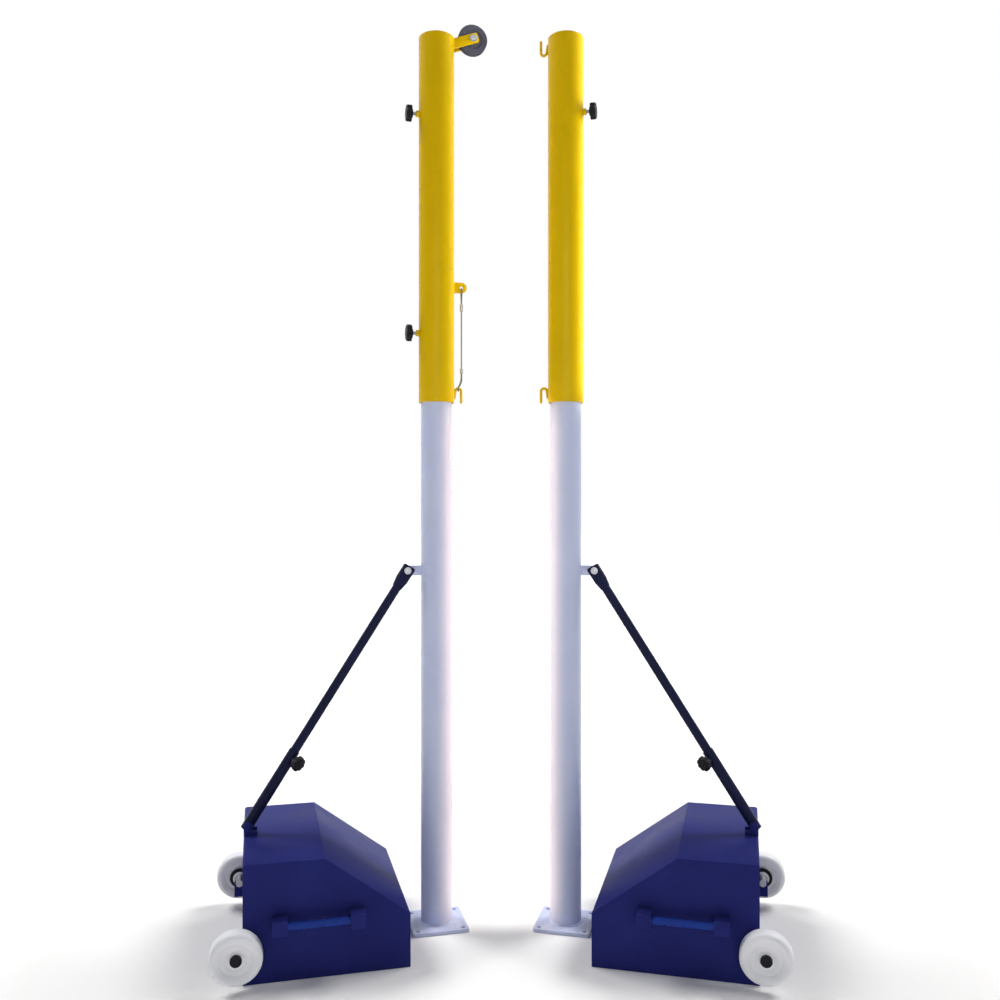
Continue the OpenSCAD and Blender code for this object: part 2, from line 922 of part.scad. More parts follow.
// Two cheeks welded on the sleeve that carry the pulley
module pulley_arms()
{
    arm_l = (pulley_x - sleeve_r) / cos(arm_rise) + arm_tip;
    root = -sleeve_r / 3;
    corner = 6;
    outline = [[root, -arm_h / 2], [arm_l, -arm_h / 2], [arm_l, arm_h / 2], [root, arm_h / 2]];
    color(yellow)
        difference() {
            for (side = [near, far])
                translate([sleeve_r, side * arm_y, arm_z])
                    rotate([0, -arm_rise, 0])
                        upright(arm_t)
                            polygon(rounded(outline, [0, 1, 1, 0], corner));
            cylinder(r = sleeve_r, h = 2 * post_h);
            translate([pulley_x, 0, pulley_z])
                cross_rod(pulley_bolt_d + 2 * seat_clear, 4 * pulley_w);
        }
}

module pulley_wheel()
{
    r = pulley_d / 2;
    half = pulley_w / 2;
    lip = 2.5;
    rim_w = 7;
    hub_r = 15;
    web_cut = 3;
    web_bevel = 2;
    web_r = r - groove_depth - rim_w;
    face = [
        [pulley_bolt_d / 2 + run_clear, half], [hub_r, half], [hub_r + web_bevel, half - web_cut],
        [web_r - web_bevel, half - web_cut], [web_r, half], [r - 1, half], [r, half - 1],
        [r, half - lip], [r - groove_depth, half / 3]
    ];
    color(slate_plastic)
        translate([pulley_x, 0, pulley_z])
            rotate([90, 0, 0])
                rotate_extrude()
                    polygon(both_faces(face));
}

module pulley_bolt()
{
    color(zinc)
        translate([pulley_x, 0, pulley_z])
            cross_bolt(pulley_bolt_d, 2 * arm_y + arm_t);
}

// Round-ended plate with an eye for the tension cord
module tension_lug()
{
    color(yellow)
        difference() {
            union() {
                translate([tension_x, 0, tension_z])
                    cross_rod(2 * tension_lug_r, tension_lug_t);
                translate([sleeve_r - sleeve_wall, -tension_lug_t / 2, tension_z - tension_lug_r])
                    cube([tension_reach + sleeve_wall, tension_lug_t, 2 * tension_lug_r]);
            }
            translate([tension_x, 0, tension_z])
                cross_rod(2 * eye_r, 2 * tension_lug_t);
            translate([0, 0, tension_z - 2 * tension_lug_r])
                cylinder(r = sleeve_r, h = 4 * tension_lug_r);
        }
}

// One side of the loop through the eye, from the eye's middle down to the ferrule
function eye_side(side) = concat(
    [[tension_x, 0, cord_top_z]],
    [
        for (a = [0:30:90])
            [
                tension_x,
                side * (tension_lug_t / 2 + eye_bend_r * sin(a)),
                cord_top_z - eye_bend_r * (1 - cos(a))
            ]
    ],
    [
        [tension_x, side * eye_loop_y, tension_z - tension_lug_r - cord_d],
        [tension_x, side * (strand_y + strand_play), upper_ferrule_z + 3 * cord_d],
        [tension_x, side * strand_y, upper_ferrule_z + cord_d],
        [tension_x, side * strand_y, upper_ferrule_z]
    ]
);

// One side of the loop round the hook, from the ferrule down to the hook's wire
function hook_side(side) = [
    [tension_x, side * strand_y, loop_top_z],
    [tension_x, side * strand_y, loop_top_z - cord_d],
    [tension_x, side * (strand_y + strand_play), loop_top_z - 2 * cord_d],
    [tension_x, side * (strand_y + hook_loop_r) / 2, loop_top_z - 4 * cord_d],
    [tension_x - cord_d / 4, side * (hook_loop_r - strand_play), loop_top_z - 6 * cord_d],
    [hook_x + cord_d, side * hook_loop_r, hook_top_z + 2.3 * cord_d],
    [hook_x + cord_d / 4, side * hook_loop_r, hook_top_z + cord_d],
    [hook_x, side * hook_loop_r, hook_top_z]
];

function under_hook() = [
    for (a = [-30:-30:-150]) [hook_x, hook_loop_r * cos(a), hook_top_z + hook_loop_r * sin(a)]
];

function all_but_first(points) = [for (i = [1:len(points) - 1]) points[i]];

// Direction of a route at its point i
function heading(points, i) = unit(points[min(i + 1, len(points) - 1)] - points[max(i - 1, 0)]);

// Round cord along a route that never runs along the guide direction
module cord_along(points, d, guide, sides = 8)
{
    last = len(points) - 1;
    rings = [
        for (i = [0:last])
            let (u = unit(cross(heading(points, i), guide)), v = cross(heading(points, i), u))
            for (k = [0:sides - 1])
                points[i] + d / 2 * (cos(360 * k / sides) * u + sin(360 * k / sides) * v)
    ];
    skin = [
        for (i = [0:last - 1])
            for (k = [0:sides - 1])
                let (a = i * sides + k, b = i * sides + (k + 1) % sides)
                each [[a, a + sides, b + sides], [a, b + sides, b]]
    ];
    ends = [
        [for (k = [0:sides - 1]) k],
        [for (k = [sides - 1:-1:0]) last * sides + k]
    ];
    polyhedron(points = rings, faces = concat(skin, ends));
}

module tension_cord()
{
    color(zinc) {
        cord_along(concat(reversed(eye_side(near)), all_but_first(eye_side(far))), cord_d, [1, 0, 0]);
        translate([tension_x, 0, lower_ferrule_z])
            cylinder(d = cord_d, h = upper_ferrule_z - upper_ferrule_l - lower_ferrule_z);
        cord_along(concat(hook_side(far), under_hook(), reversed(hook_side(near))), cord_d, [1, 0, -1]);
    }
}

// Pressed ferrules that close the cord's two loops
module tension_ferrules()
{
    color(zinc) {
        translate([tension_x, 0, upper_ferrule_z - upper_ferrule_l])
            cylinder(d = ferrule_d, h = upper_ferrule_l);
        translate([tension_x, 0, lower_ferrule_z - lower_ferrule_l])
            cylinder(d = ferrule_d, h = lower_ferrule_l);
    }
}

// Wire hook: one leg along the sleeve, a half-round bend and a free leg, legs along +Z
module wire_hook()
{
    inner_x = hook_x - hook_bend_r;
    outer_x = hook_x + hook_bend_r;
    translate([inner_x, 0, 0])
        cylinder(d = hook_wire_d, h = hook_weld_leg);
    translate([outer_x, 0, 0])
        cylinder(d = hook_wire_d, h = hook_leg);
    translate([hook_x, 0, 0])
        rotate([90, 0, 0])
            rotate_extrude(angle = -180)
                translate([hook_bend_r, 0])
                    circle(d = hook_wire_d);
}

module net_hook_low()
{
    color(yellow)
        translate([0, 0, hook_low_z])
            mirror([0, 0, 1])
                wire_hook();
}

module net_hook_high()
{
    color(yellow)
        translate([0, 0, hook_high_z])
            wire_hook();
}

stand(left) ballast_box();  // ballast_box_left
stand(right) ballast_box();  // ballast_box_right
stand_both() box_side_plates();
stand_both() box_floor();  // box_floors
stand_both() ballast_slabs();
stand_both() handle_bars();
stand_both() handle_brackets();
stand_both() stub_axles();  // axles
stand_both() axle_saddles();
stand_both() axle_collars();
stand_both() axle_washers();
stand_both() axle_end_caps();
stand_both() strut_foot_ears();
stand_both() strut_foot_bolt();  // strut_foot_bolts
stand_both() foot_hinge_ears();
stand_both() foot_hinge_pin();  // foot_hinge_pins
stand(left) foot_plate();  // foot_plate_left
stand(right) foot_plate();  // foot_plate_right
stand(left) foot_tongue();  // foot_tongue_left
stand(right) foot_tongue();  // foot_tongue_right
stand(left) mast_tube();  // mast_tube_left
stand(right) mast_tube();  // mast_tube_right
stand(left) mast_plug();  // mast_plug_left
stand(right) mast_plug();  // mast_plug_right
stand(left) strut_lug();  // strut_lug_left
stand(right) strut_lug();  // strut_lug_right
stand(left) strut_lower_tube();  // strut_lower_tube_left
stand(right) strut_lower_tube();  // strut_lower_tube_right
stand(left) strut_upper_tube();  // strut_upper_tube_left
stand(right) strut_upper_tube();  // strut_upper_tube_right
stand(left) strut_head();  // strut_head_left
stand(right) strut_head();  // strut_head_right
stand(left) strut_head_bolt();  // strut_head_bolt_left
stand(right) strut_head_bolt();  // strut_head_bolt_right
stand(left) strut_knob();  // strut_knob_left
stand(right) strut_knob();  // strut_knob_right
stand(left) sleeve(left_knob_heights);  // sleeve_left
stand(right) sleeve([knob_right_z]);  // sleeve_right
stand(left) sleeve_cap();  // sleeve_cap_left
stand(right) sleeve_cap();  // sleeve_cap_right
stand(left) sleeve_guide();  // sleeve_guide_left
stand(right) sleeve_guide();  // sleeve_guide_right
stand(left) knob_bosses(left_knob_heights);  // knob_bosses_left
stand(right) knob_bosses([knob_right_z]);  // knob_boss_right
stand(left) clamp_knob(knob_left_upper_z);  // clamp_knob_left_upper
stand(left) clamp_knob(knob_left_lower_z);  // clamp_knob_left_lower
stand(right) clamp_knob(knob_right_z);  // clamp_knob_right
stand(left) pulley_arms();
stand(left) pulley_wheel();
stand(left) pulley_bolt();
stand(left) tension_lug();
stand(left) tension_cord();
stand(left) tension_ferrules();
stand(left) net_hook_low();  // net_hook_left
stand(right) net_hook_high();  // net_hook_right_upper
stand(right) net_hook_low();  // net_hook_right_lower
stand(left) wheel(near);  // wheel_left_near
stand(left) wheel(far);  // wheel_left_far
stand(right) wheel(near);  // wheel_right_near
stand(right) wheel(far);  // wheel_right_far
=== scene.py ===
# %% [markdown]
# # A pair of free-standing volleyball posts
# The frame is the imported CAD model: every node already stands where the real piece stands and rides
# on the body that it moves with. This lesson gives those pieces their paint, plastic and zinc, and
# builds again, in finer mesh, the pieces whose edges, threads and welds the eye looks for.

# %% Load the frame
import json
import math

import bmesh
import bpy
from mathutils import Matrix, Vector

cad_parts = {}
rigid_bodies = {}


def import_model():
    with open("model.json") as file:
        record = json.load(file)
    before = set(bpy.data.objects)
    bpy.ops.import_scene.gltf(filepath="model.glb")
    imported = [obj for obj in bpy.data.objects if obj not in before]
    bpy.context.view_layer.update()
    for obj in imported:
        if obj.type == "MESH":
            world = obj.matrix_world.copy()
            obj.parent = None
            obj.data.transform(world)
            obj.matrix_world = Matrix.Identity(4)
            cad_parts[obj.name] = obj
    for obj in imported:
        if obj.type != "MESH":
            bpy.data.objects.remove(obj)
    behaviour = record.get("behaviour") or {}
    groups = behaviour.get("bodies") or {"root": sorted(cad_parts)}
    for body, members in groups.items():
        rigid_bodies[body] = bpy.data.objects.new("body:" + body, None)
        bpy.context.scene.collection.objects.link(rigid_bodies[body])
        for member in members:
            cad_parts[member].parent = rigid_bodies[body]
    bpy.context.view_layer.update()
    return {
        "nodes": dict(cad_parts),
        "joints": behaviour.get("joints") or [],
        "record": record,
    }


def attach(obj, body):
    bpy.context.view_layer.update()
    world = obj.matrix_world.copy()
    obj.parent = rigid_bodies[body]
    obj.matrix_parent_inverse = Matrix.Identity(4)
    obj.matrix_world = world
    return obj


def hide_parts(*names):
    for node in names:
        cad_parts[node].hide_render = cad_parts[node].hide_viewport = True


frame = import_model()
scene = bpy.context.scene

# %% [markdown]
# ## Where the two units stand
# Each unit is easiest to think of in its own frame: the mast's axis is Z, the net is on the +X side
# and the ballast box on the -X side. One matrix carries a piece from there to the unit's place. The
# left unit is turned so that its box comes forward, and the right one is its mirror image, so its
# faces have to be turned round after the mirror. The turn and the place are read from the joint at
# the mast's foot, so they always agree with the CAD.

# %% Matrices of the two units
LEFT, RIGHT = "left", "right"
SIDES = (LEFT, RIGHT)
NEAR, FAR = -1, 1
FLANKS = (NEAR, FAR)
HINGE_X = -0.097
HINGE_Z = 0.014

joints = {joint["name"]: joint for joint in frame["joints"]}
lean = joints["mast_left_lean"]
toe = math.atan2(-lean["axis"][0], lean["axis"][1])
mast_x = lean["pos_m"][0] - HINGE_X * math.cos(toe)
mast_y = lean["pos_m"][1] - HINGE_X * math.sin(toe)


def unit_matrix(side):
    place = Matrix.Translation((mast_x, mast_y, 0)) @ Matrix.Rotation(toe, 4, "Z")
    if side == RIGHT:
        return Matrix.Scale(-1, 4, (1, 0, 0)) @ place
    return place


print("turn of a unit:", round(math.degrees(toe), 2), "mast axis at", round(mast_x, 4), round(mast_y, 4))

# %% [markdown]
# ## Paint, and the small things that make it paint
# A flat colour reads as plastic foam. Powder coat has a fine ripple like orange peel, it is a little
# rougher where hands and cords rub it, and it is thinner and lighter along edges. Several finishes
# share these effects, so each effect is a node group that is built once and placed with its own
# values. A group gives only masks and heights; the shader itself stays in the material.

# %% Node helpers
def new_group(name, inputs, outputs):
    """A shader node group with named float sockets, and its two end nodes."""
    group = bpy.data.node_groups.new(name, "ShaderNodeTree")
    for socket, default in inputs.items():
        made = group.interface.new_socket(socket, in_out="INPUT", socket_type="NodeSocketFloat")
        made.default_value = default
    for socket in outputs:
        group.interface.new_socket(socket, in_out="OUTPUT", socket_type="NodeSocketFloat")
    return group, group.nodes.new("NodeGroupInput"), group.nodes.new("NodeGroupOutput")


def feed(tree, socket, value):
    """Gives a node's input a link from another node, or else a constant."""
    if hasattr(value, "is_output"):
        tree.links.new(value, socket)
    else:
        socket.default_value = value


def math_node(tree, operation, first, second, clamp=False):
    node = tree.nodes.new("ShaderNodeMath")
    node.operation = operation
    node.use_clamp = clamp
    for socket, value in zip(node.inputs, (first, second)):
        feed(tree, socket, value)
    return node.outputs[0]


def object_place(tree):
    """Coordinates in the object's own metres, which ride with the piece."""
    return tree.nodes.new("ShaderNodeTexCoord").outputs["Object"]


def true_normal(tree):
    return tree.nodes.new("ShaderNodeNewGeometry").outputs["Normal"]


def noise_node(tree, scale, detail):
    """Fractal noise, with its scale in ripples per metre."""
    node = tree.nodes.new("ShaderNodeTexNoise")
    node.inputs["Detail"].default_value = detail
    feed(tree, node.inputs["Scale"], scale)
    tree.links.new(object_place(tree), node.inputs["Vector"])
    return node.outputs["Fac"]


def stretch(tree, value, low, high):
    """Maps low..high to 0..1 and holds it there."""
    node = tree.nodes.new("ShaderNodeMapRange")
    node.inputs["From Min"].default_value = low
    node.inputs["From Max"].default_value = high
    tree.links.new(value, node.inputs["Value"])
    return node.outputs["Result"]


# %% [markdown]
# ### Orange peel
# Powder melts and flows in the oven, and sets with a ripple a few millimetres long. Noise of two
# sizes gives it: the ripple itself, and a finer grain on top. It goes to a bump node, because the
# ripple is far too shallow to be worth real geometry.

# %% Orange peel group
peel_group, peel_in, peel_out = new_group(
    "orange_peel", {"Ripples per metre": 320.0, "Grain": 0.3}, ["Height"]
)
ripple = noise_node(peel_group, peel_in.outputs["Ripples per metre"], 1.0)
fine_scale = math_node(peel_group, "MULTIPLY", peel_in.outputs["Ripples per metre"], 4.0)
grain = noise_node(peel_group, fine_scale, 2.0)
grain = math_node(peel_group, "MULTIPLY", grain, peel_in.outputs["Grain"])
peel_group.links.new(math_node(peel_group, "ADD", ripple, grain), peel_out.inputs["Height"])
print("group:", peel_group.name)

# %% [markdown]
# ### Worn edges
# Edges get knocked in transport. The bevel node gives the normal that a rounded edge would have, so
# the places where it differs from the true normal are the edges. Noise breaks the line up, and only
# some stretches are rubbed.

# %% Edge wear group
EDGE_RADIUS = 0.0016


def give_mask(tree, mask, group_in, group_out):
    """Scales a mask by the group's Amount and hands it out."""
    scaled = math_node(tree, "MULTIPLY", mask, group_in.outputs["Amount"], clamp=True)
    tree.links.new(scaled, group_out.inputs["Mask"])


wear_group, wear_in, wear_out = new_group(
    "edge_wear", {"Amount": 0.5, "Patches per metre": 60.0}, ["Mask"]
)
round_edge = wear_group.nodes.new("ShaderNodeBevel")
round_edge.samples = 4
round_edge.inputs["Radius"].default_value = EDGE_RADIUS
same_way = wear_group.nodes.new("ShaderNodeVectorMath")
same_way.operation = "DOT_PRODUCT"
wear_group.links.new(round_edge.outputs["Normal"], same_way.inputs[0])
wear_group.links.new(true_normal(wear_group), same_way.inputs[1])
turned = math_node(wear_group, "SUBTRACT", 1.0, same_way.outputs["Value"])
on_edge = stretch(wear_group, turned, 0.015, 0.12)
patches = noise_node(wear_group, wear_in.outputs["Patches per metre"], 4.0)
patches = stretch(wear_group, patches, 0.4, 0.62)
worn = math_node(wear_group, "MULTIPLY", on_edge, patches)
give_mask(wear_group, worn, wear_in, wear_out)
print("group:", wear_group.name)

# %% [markdown]
# ### Rubbed and dusty patches
# Broad, soft noise makes some places duller than others. A second mask adds a trace of dust on faces
# that look up, thinning out with height, because the dust of a gym floor settles low.

# %% Patch and dust groups
patch_group, patch_in, patch_out = new_group("rubbed_patches", {"Patches per metre": 9.0}, ["Mask"])
broad = noise_node(patch_group, patch_in.outputs["Patches per metre"], 5.0)
patch_group.links.new(stretch(patch_group, broad, 0.35, 0.68), patch_out.inputs["Mask"])

dust_group, dust_in, dust_out = new_group("settled_dust", {"Amount": 0.3}, ["Mask"])
normal_xyz = dust_group.nodes.new("ShaderNodeSeparateXYZ")
dust_group.links.new(true_normal(dust_group), normal_xyz.inputs[0])
upward = stretch(dust_group, normal_xyz.outputs["Z"], 0.3, 1.0)
place_xyz = dust_group.nodes.new("ShaderNodeSeparateXYZ")
dust_group.links.new(object_place(dust_group), place_xyz.inputs[0])
low_down = math_node(dust_group, "SUBTRACT", 1.0, stretch(dust_group, place_xyz.outputs["Z"], 0.0, 1.2))
specks = stretch(dust_group, noise_node(dust_group, 45.0, 6.0), 0.35, 0.75)
settled = math_node(dust_group, "MULTIPLY", upward, low_down)
settled = math_node(dust_group, "MULTIPLY", settled, specks)
give_mask(dust_group, settled, dust_in, dust_out)
print("groups:", patch_group.name, dust_group.name)

# %% [markdown]
# ## Finishes
# One function makes a coated or moulded finish from its colour, the colour that shows where it is
# worn, a tint for broad patches, its range of roughness and the size of its ripple. The values that
# are the same all over a piece are written on the shader's own sockets.

# %% Finish function
materials = {}


def srgb(red, green, blue):
    """Linear colour from the 0-255 values of a colour card."""
    values = []
    for part in (red, green, blue):
        part = part / 255
        values.append(part / 12.92 if part <= 0.04045 else ((part + 0.055) / 1.055) ** 2.4)
    return (*values, 1.0)


def place_group(tree, group, **values):
    node = tree.nodes.new("ShaderNodeGroup")
    node.node_tree = group
    for socket, value in values.items():
        node.inputs[socket.replace("_", " ")].default_value = value
    return node.outputs[0]


def mix_colour(tree, mask, first, second):
    node = tree.nodes.new("ShaderNodeMix")
    node.data_type = "RGBA"
    tree.links.new(mask, node.inputs["Factor"])
    # The colour sockets share their names with others, so they are taken by number.
    feed(tree, node.inputs[6], first)
    feed(tree, node.inputs[7], second)
    return node.outputs[2]


def new_material(name):
    """A material, its node tree and the shader in it."""
    material = bpy.data.materials.new(name)
    material.use_nodes = True
    return material, material.node_tree, material.node_tree.nodes["Principled BSDF"]


DUST_COLOUR = srgb(196, 192, 184)
DUST_ROUGHNESS = 0.4


def finish(
    slot, colour, worn_colour, tint, rough, specular, wear=0.5, dust=0.0,
    ripples=320.0, depth=0.00006, metallic=0.0,
):
    """A coated, moulded or plated finish, kept under the name of its material slot.

    The three colours are 0-255 values. colour and tint alternate in broad patches, and so do the
    two values of rough.
    """
    material, tree, shader = new_material(slot + "_finish")
    shader.inputs["Metallic"].default_value = metallic
    shader.inputs["Specular IOR Level"].default_value = specular
    patch = place_group(tree, patch_group)
    shade = mix_colour(tree, patch, srgb(*colour), srgb(*tint))
    edges = place_group(tree, wear_group, Amount=wear)
    shade = mix_colour(tree, edges, shade, srgb(*worn_colour))
    dusty = place_group(tree, dust_group, Amount=dust)
    shade = mix_colour(tree, dusty, shade, DUST_COLOUR)
    tree.links.new(shade, shader.inputs["Base Color"])
    spread = rough[1] - rough[0]
    roughness = math_node(tree, "ADD", math_node(tree, "MULTIPLY", patch, spread), rough[0])
    dusted = math_node(tree, "MULTIPLY", dusty, DUST_ROUGHNESS)
    roughness = math_node(tree, "ADD", roughness, dusted, clamp=True)
    tree.links.new(roughness, shader.inputs["Roughness"])
    bump = tree.nodes.new("ShaderNodeBump")
    bump.inputs["Distance"].default_value = depth
    bump.inputs["Strength"].default_value = 1.0
    tree.links.new(place_group(tree, peel_group, Ripples_per_metre=ripples), bump.inputs["Height"])
    tree.links.new(bump.outputs["Normal"], shader.inputs["Normal"])
    materials[slot] = material


# %% [markdown]
# ### The paints
# The ballast boxes are deep navy, the handles a brighter blue, the sleeves a warm safety yellow and the
# masts a white with a breath of lilac in it. The struts share the boxes' navy paint; their darker,
# nearly black copy of it is painted shade. Where an edge is rubbed the paint gets paler first; bare
# steel would be too much for posts that live in a hall.

# %% Paint finishes
finish("navy_paint", (40, 44, 108), (88, 96, 156), (44, 49, 117), (0.3, 0.38), wear=0.55, specular=0.01)
# The struts' darker copy of the navy paint is painted shade: they share the navy slot with the boxes.
finish("strut_paint", (25, 29, 56), (80, 86, 124), (29, 33, 66), (0.26, 0.36), specular=0.07)
finish("blue_paint", (34, 62, 150), (84, 104, 170), (30, 54, 136), (0.2, 0.34), specular=0.08)
finish(
    "yellow_paint", (226, 187, 0), (246, 216, 80), (222, 182, 0), (0.24, 0.32),
    wear=0.4, dust=0.03, specular=0.1,
)
finish(
    "white_paint", (203, 210, 238), (236, 240, 250), (198, 206, 235), (0.24, 0.28),
    wear=0.3, dust=0.05, specular=0.3,
)
print("paints:", sorted(materials))

# %% [markdown]
# ### Plastics and metals
# The wheels are turned nylon, milky and satin. The knobs are fine-grained black plastic, the pulley a
# slate grey one. Bolts, axles and studs are zinc-plated: metallic, fairly bright, with a blotchy
# roughness. The steel cord has the same zinc, only duller and darker.

# %% Plastic and metal finishes
finish(
    "nylon", (240, 240, 243), (246, 246, 246), (232, 233, 238), (0.36, 0.5),
    ripples=700.0, depth=0.00003, wear=0.2, dust=0.15, specular=0.45,
)
finish(
    "black_plastic", (16, 16, 21), (58, 58, 64), (21, 21, 27), (0.38, 0.52),
    ripples=1400.0, depth=0.00005, dust=0.04, specular=0.14,
)
finish(
    "slate_plastic", (72, 72, 90), (120, 120, 134), (64, 64, 82), (0.4, 0.55),
    ripples=1200.0, depth=0.00004, dust=0.1, specular=0.45,
)
finish(
    "zinc", (186, 186, 190), (222, 222, 224), (166, 168, 174), (0.28, 0.46),
    ripples=900.0, depth=0.00003, dust=0.15, metallic=1.0, specular=0.5,
)
finish(
    "rope_steel", (138, 135, 128), (180, 178, 172), (120, 118, 112), (0.36, 0.5),
    ripples=900.0, depth=0.00003, metallic=1.0, specular=0.5,
)
finish(
    "cast_iron", (70, 70, 72), (120, 118, 116), (58, 58, 60), (0.6, 0.8),
    ripples=260.0, depth=0.0004, wear=0.3, dust=0.3, specular=0.3,
)
print("finishes:", len(materials))

# %% [markdown]
# ## Finishes on the CAD nodes
# A node's finish follows from its material slot in the record, so nothing has to be listed twice.

# %% Paint the nodes
node_slot = {part["node"]: part["material_slot"] for part in frame["record"]["subparts"]}
for name, obj in frame["nodes"].items():
    obj.data.materials.clear()
    obj.data.materials.append(materials[node_slot[name]])
print("nodes painted:", len(node_slot))

# %% [markdown]
# ## Tools for building pieces
# Every new piece ends in the same way: its faces are smoothed where they meet gently, it gets a
# finish, rides on a body and hides the CAD nodes that it stands for.

# %% Piece helper
SHARP = math.radians(38)


def count_named(word):
    """How many objects have the word in their name so far."""
    return sum(word in obj.name for obj in scene.objects)


def add_piece(name, shape, body, slot, side=None, replaces=(), look=None):
    """Turns a bmesh into a piece of the object. side moves it from the unit's frame to its place.

    look names another finish than the slot's own.
    """
    if side:
        shape.transform(unit_matrix(side))
        if side == RIGHT:
            bmesh.ops.reverse_faces(shape, faces=shape.faces)
    mesh = bpy.data.meshes.new(name)
    shape.to_mesh(mesh)
    shape.free()
    mesh.shade_smooth()
    mesh.set_sharp_from_angle(angle=SHARP)
    mesh.materials.append(materials[look or slot])
    piece = bpy.data.objects.new(name, mesh)
    scene.collection.objects.link(piece)
    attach(piece, body)
    if replaces:
        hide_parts(*replaces)
    return piece


# %% [markdown]
# ### Rounded plates
# Plates and lugs are right in the CAD, but their edges are mathematically sharp, and a real sawn or
# pressed edge is broken by a file. The node's faces are copied, its flat triangles are merged, and
# the edges that turn sharply get a small bevel, which is what catches the light.

# %% Bevel helper
SEAM = math.radians(0.4)
CORNER = math.radians(32)


def rounded_node(node, body, width, segments=2, look=None):
    """A copy of a CAD node with its edges broken, which then stands for it."""
    shape = bmesh.new()
    shape.from_mesh(frame["nodes"][node].data)
    bmesh.ops.remove_doubles(shape, verts=shape.verts, dist=1e-5)
    bmesh.ops.dissolve_limit(
        shape, angle_limit=SEAM, verts=shape.verts, edges=shape.edges, delimit={"NORMAL"}
    )
    corners = [e for e in shape.edges if len(e.link_faces) == 2 and e.calc_face_angle(0.0) > CORNER]
    bmesh.ops.bevel(
        shape, geom=corners, offset=width, segments=segments, profile=0.5, affect="EDGES",
        clamp_overlap=True,
    )
    return add_piece(node + "_rounded", shape, body, node_slot[node], replaces=[node], look=look)


PLATE_EDGE = 0.0011
FINE_EDGE = 0.0006
SIDE_EDGE = 0.0014
for side in SIDES:
    rounded_node(f"foot_plate_{side}", f"mast_{side}", PLATE_EDGE)
    rounded_node(f"foot_tongue_{side}", f"mast_{side}", FINE_EDGE)
    rounded_node(f"strut_lug_{side}", f"mast_{side}", PLATE_EDGE)
    # The strut's head takes the darker copy of the navy paint, which is painted shade.
    rounded_node(f"strut_head_{side}", f"strut_upper_{side}", FINE_EDGE, look="strut_paint")
for node in ("handle_brackets", "axle_saddles", "strut_foot_ears", "foot_hinge_ears"):
    rounded_node(node, "base", PLATE_EDGE)
for side in SIDES:
    rounded_node(f"ballast_box_{side}", "base", FINE_EDGE)
rounded_node("box_side_plates", "base", SIDE_EDGE, 3)
rounded_node("pulley_arms", "sleeve_left", PLATE_EDGE)
rounded_node("tension_lug", "sleeve_left", PLATE_EDGE)
print("rounded plates:", count_named("_rounded"))

# %% [markdown]
# ## Sizes of the real object
# The lesson works in metres, as Blender does, but a workshop thinks in millimetres, so the sizes are
# written in millimetres and turned once. Here are the sizes that several pieces share; the others
# stand beside the piece that needs them. ROUND is the number of faces round a large turned piece.

# %% Sizes
MM = 0.001
POST_H = 2535 * MM
CAP_T = 5 * MM
SLEEVE_BOTTOM = 1490 * MM
SLEEVE_R = 50.8 * MM
SLEEVE_BORE = 47.8 * MM
MAST_R = 44.45 * MM
MAST_WALL = 3.2 * MM
PLATE_T = 10 * MM
PLATE_HALF = 80 * MM
MAST_TOP = POST_H - 2 * CAP_T - 197 * MM
BOX_END_X = -534 * MM
BOX_HALF_W = 245 * MM
BOX_H = 300 * MM
ROUND = 128
KNOB_HEIGHTS = {
    "clamp_knob_left_upper": (LEFT, MAST_TOP - 15 * MM),
    "clamp_knob_left_lower": (LEFT, SLEEVE_BOTTOM + 198 * MM),
    "clamp_knob_right": (RIGHT, MAST_TOP - 9 * MM),
}
print("sleeve from", SLEEVE_BOTTOM, "to", POST_H, "mast ends at", round(MAST_TOP, 4))

# %% [markdown]
# ## Turned pieces
# Most of this object is round: tubes, wheels, knobs, bosses. One function turns a profile about the
# Z axis. A profile lists (radius, height) points; where it doesn't touch the axis, the last point is
# joined to the first, which makes a ring or a tube. Rounded corners are short arcs in the profile.

# %% Lathe
def arc(middle, radius, start, end, steps):
    """Points of a circle's arc between two angles in degrees."""
    points = []
    for i in range(steps + 1):
        a = math.radians(start + (end - start) * i / steps)
        points.append((middle[0] + radius * math.cos(a), middle[1] + radius * math.sin(a)))
    return points


def skin(shape, first, second):
    """Faces between two rings of vertices, of which one may be a single point."""
    count = max(len(first), len(second))
    for k in range(count):
        n = (k + 1) % count
        corners = []
        for ring, i in ((first, k), (first, n), (second, n), (second, k)):
            vert = ring[i % len(ring)]
            if vert not in corners:
                corners.append(vert)
        shape.faces.new(corners)


def lathe(profile, segments, radius_at=None):
    """Solid of revolution about Z. radius_at(r, z, angle) can reshape it, as for a knob's lobes."""
    shape = bmesh.new()
    rings = []
    for r, z in profile:
        if r < 1e-7:
            rings.append([shape.verts.new((0, 0, z))])
            continue
        ring = []
        for k in range(segments):
            a = 2 * math.pi * k / segments
            here = radius_at(r, z, a) if radius_at else r
            ring.append(shape.verts.new((here * math.cos(a), here * math.sin(a), z)))
        rings.append(ring)
    for first, second in zip(rings, rings[1:]):
        if len(first) + len(second) > 2:
            skin(shape, first, second)
    if len(rings[0]) > 1:
        skin(shape, rings[-1], rings[0])
    bmesh.ops.recalc_face_normals(shape, faces=shape.faces)
    return shape


def put(shape, *steps):
    """Moves a shape by the product of the given matrices."""
    matrix = Matrix.Identity(4)
    for step in steps:
        matrix = matrix @ step
    shape.transform(matrix)
    return shape


def shift(x=0.0, y=0.0, z=0.0):
    return Matrix.Translation((x, y, z))


def spin(degrees, axis):
    return Matrix.Rotation(math.radians(degrees), 4, axis)


def joined(shapes):
    """One bmesh from several, which are used up."""
    whole = bmesh.new()
    for shape in shapes:
        carrier = bpy.data.meshes.new("carrier")
        shape.to_mesh(carrier)
        shape.free()
        whole.from_mesh(carrier)
        bpy.data.meshes.remove(carrier)
    return whole


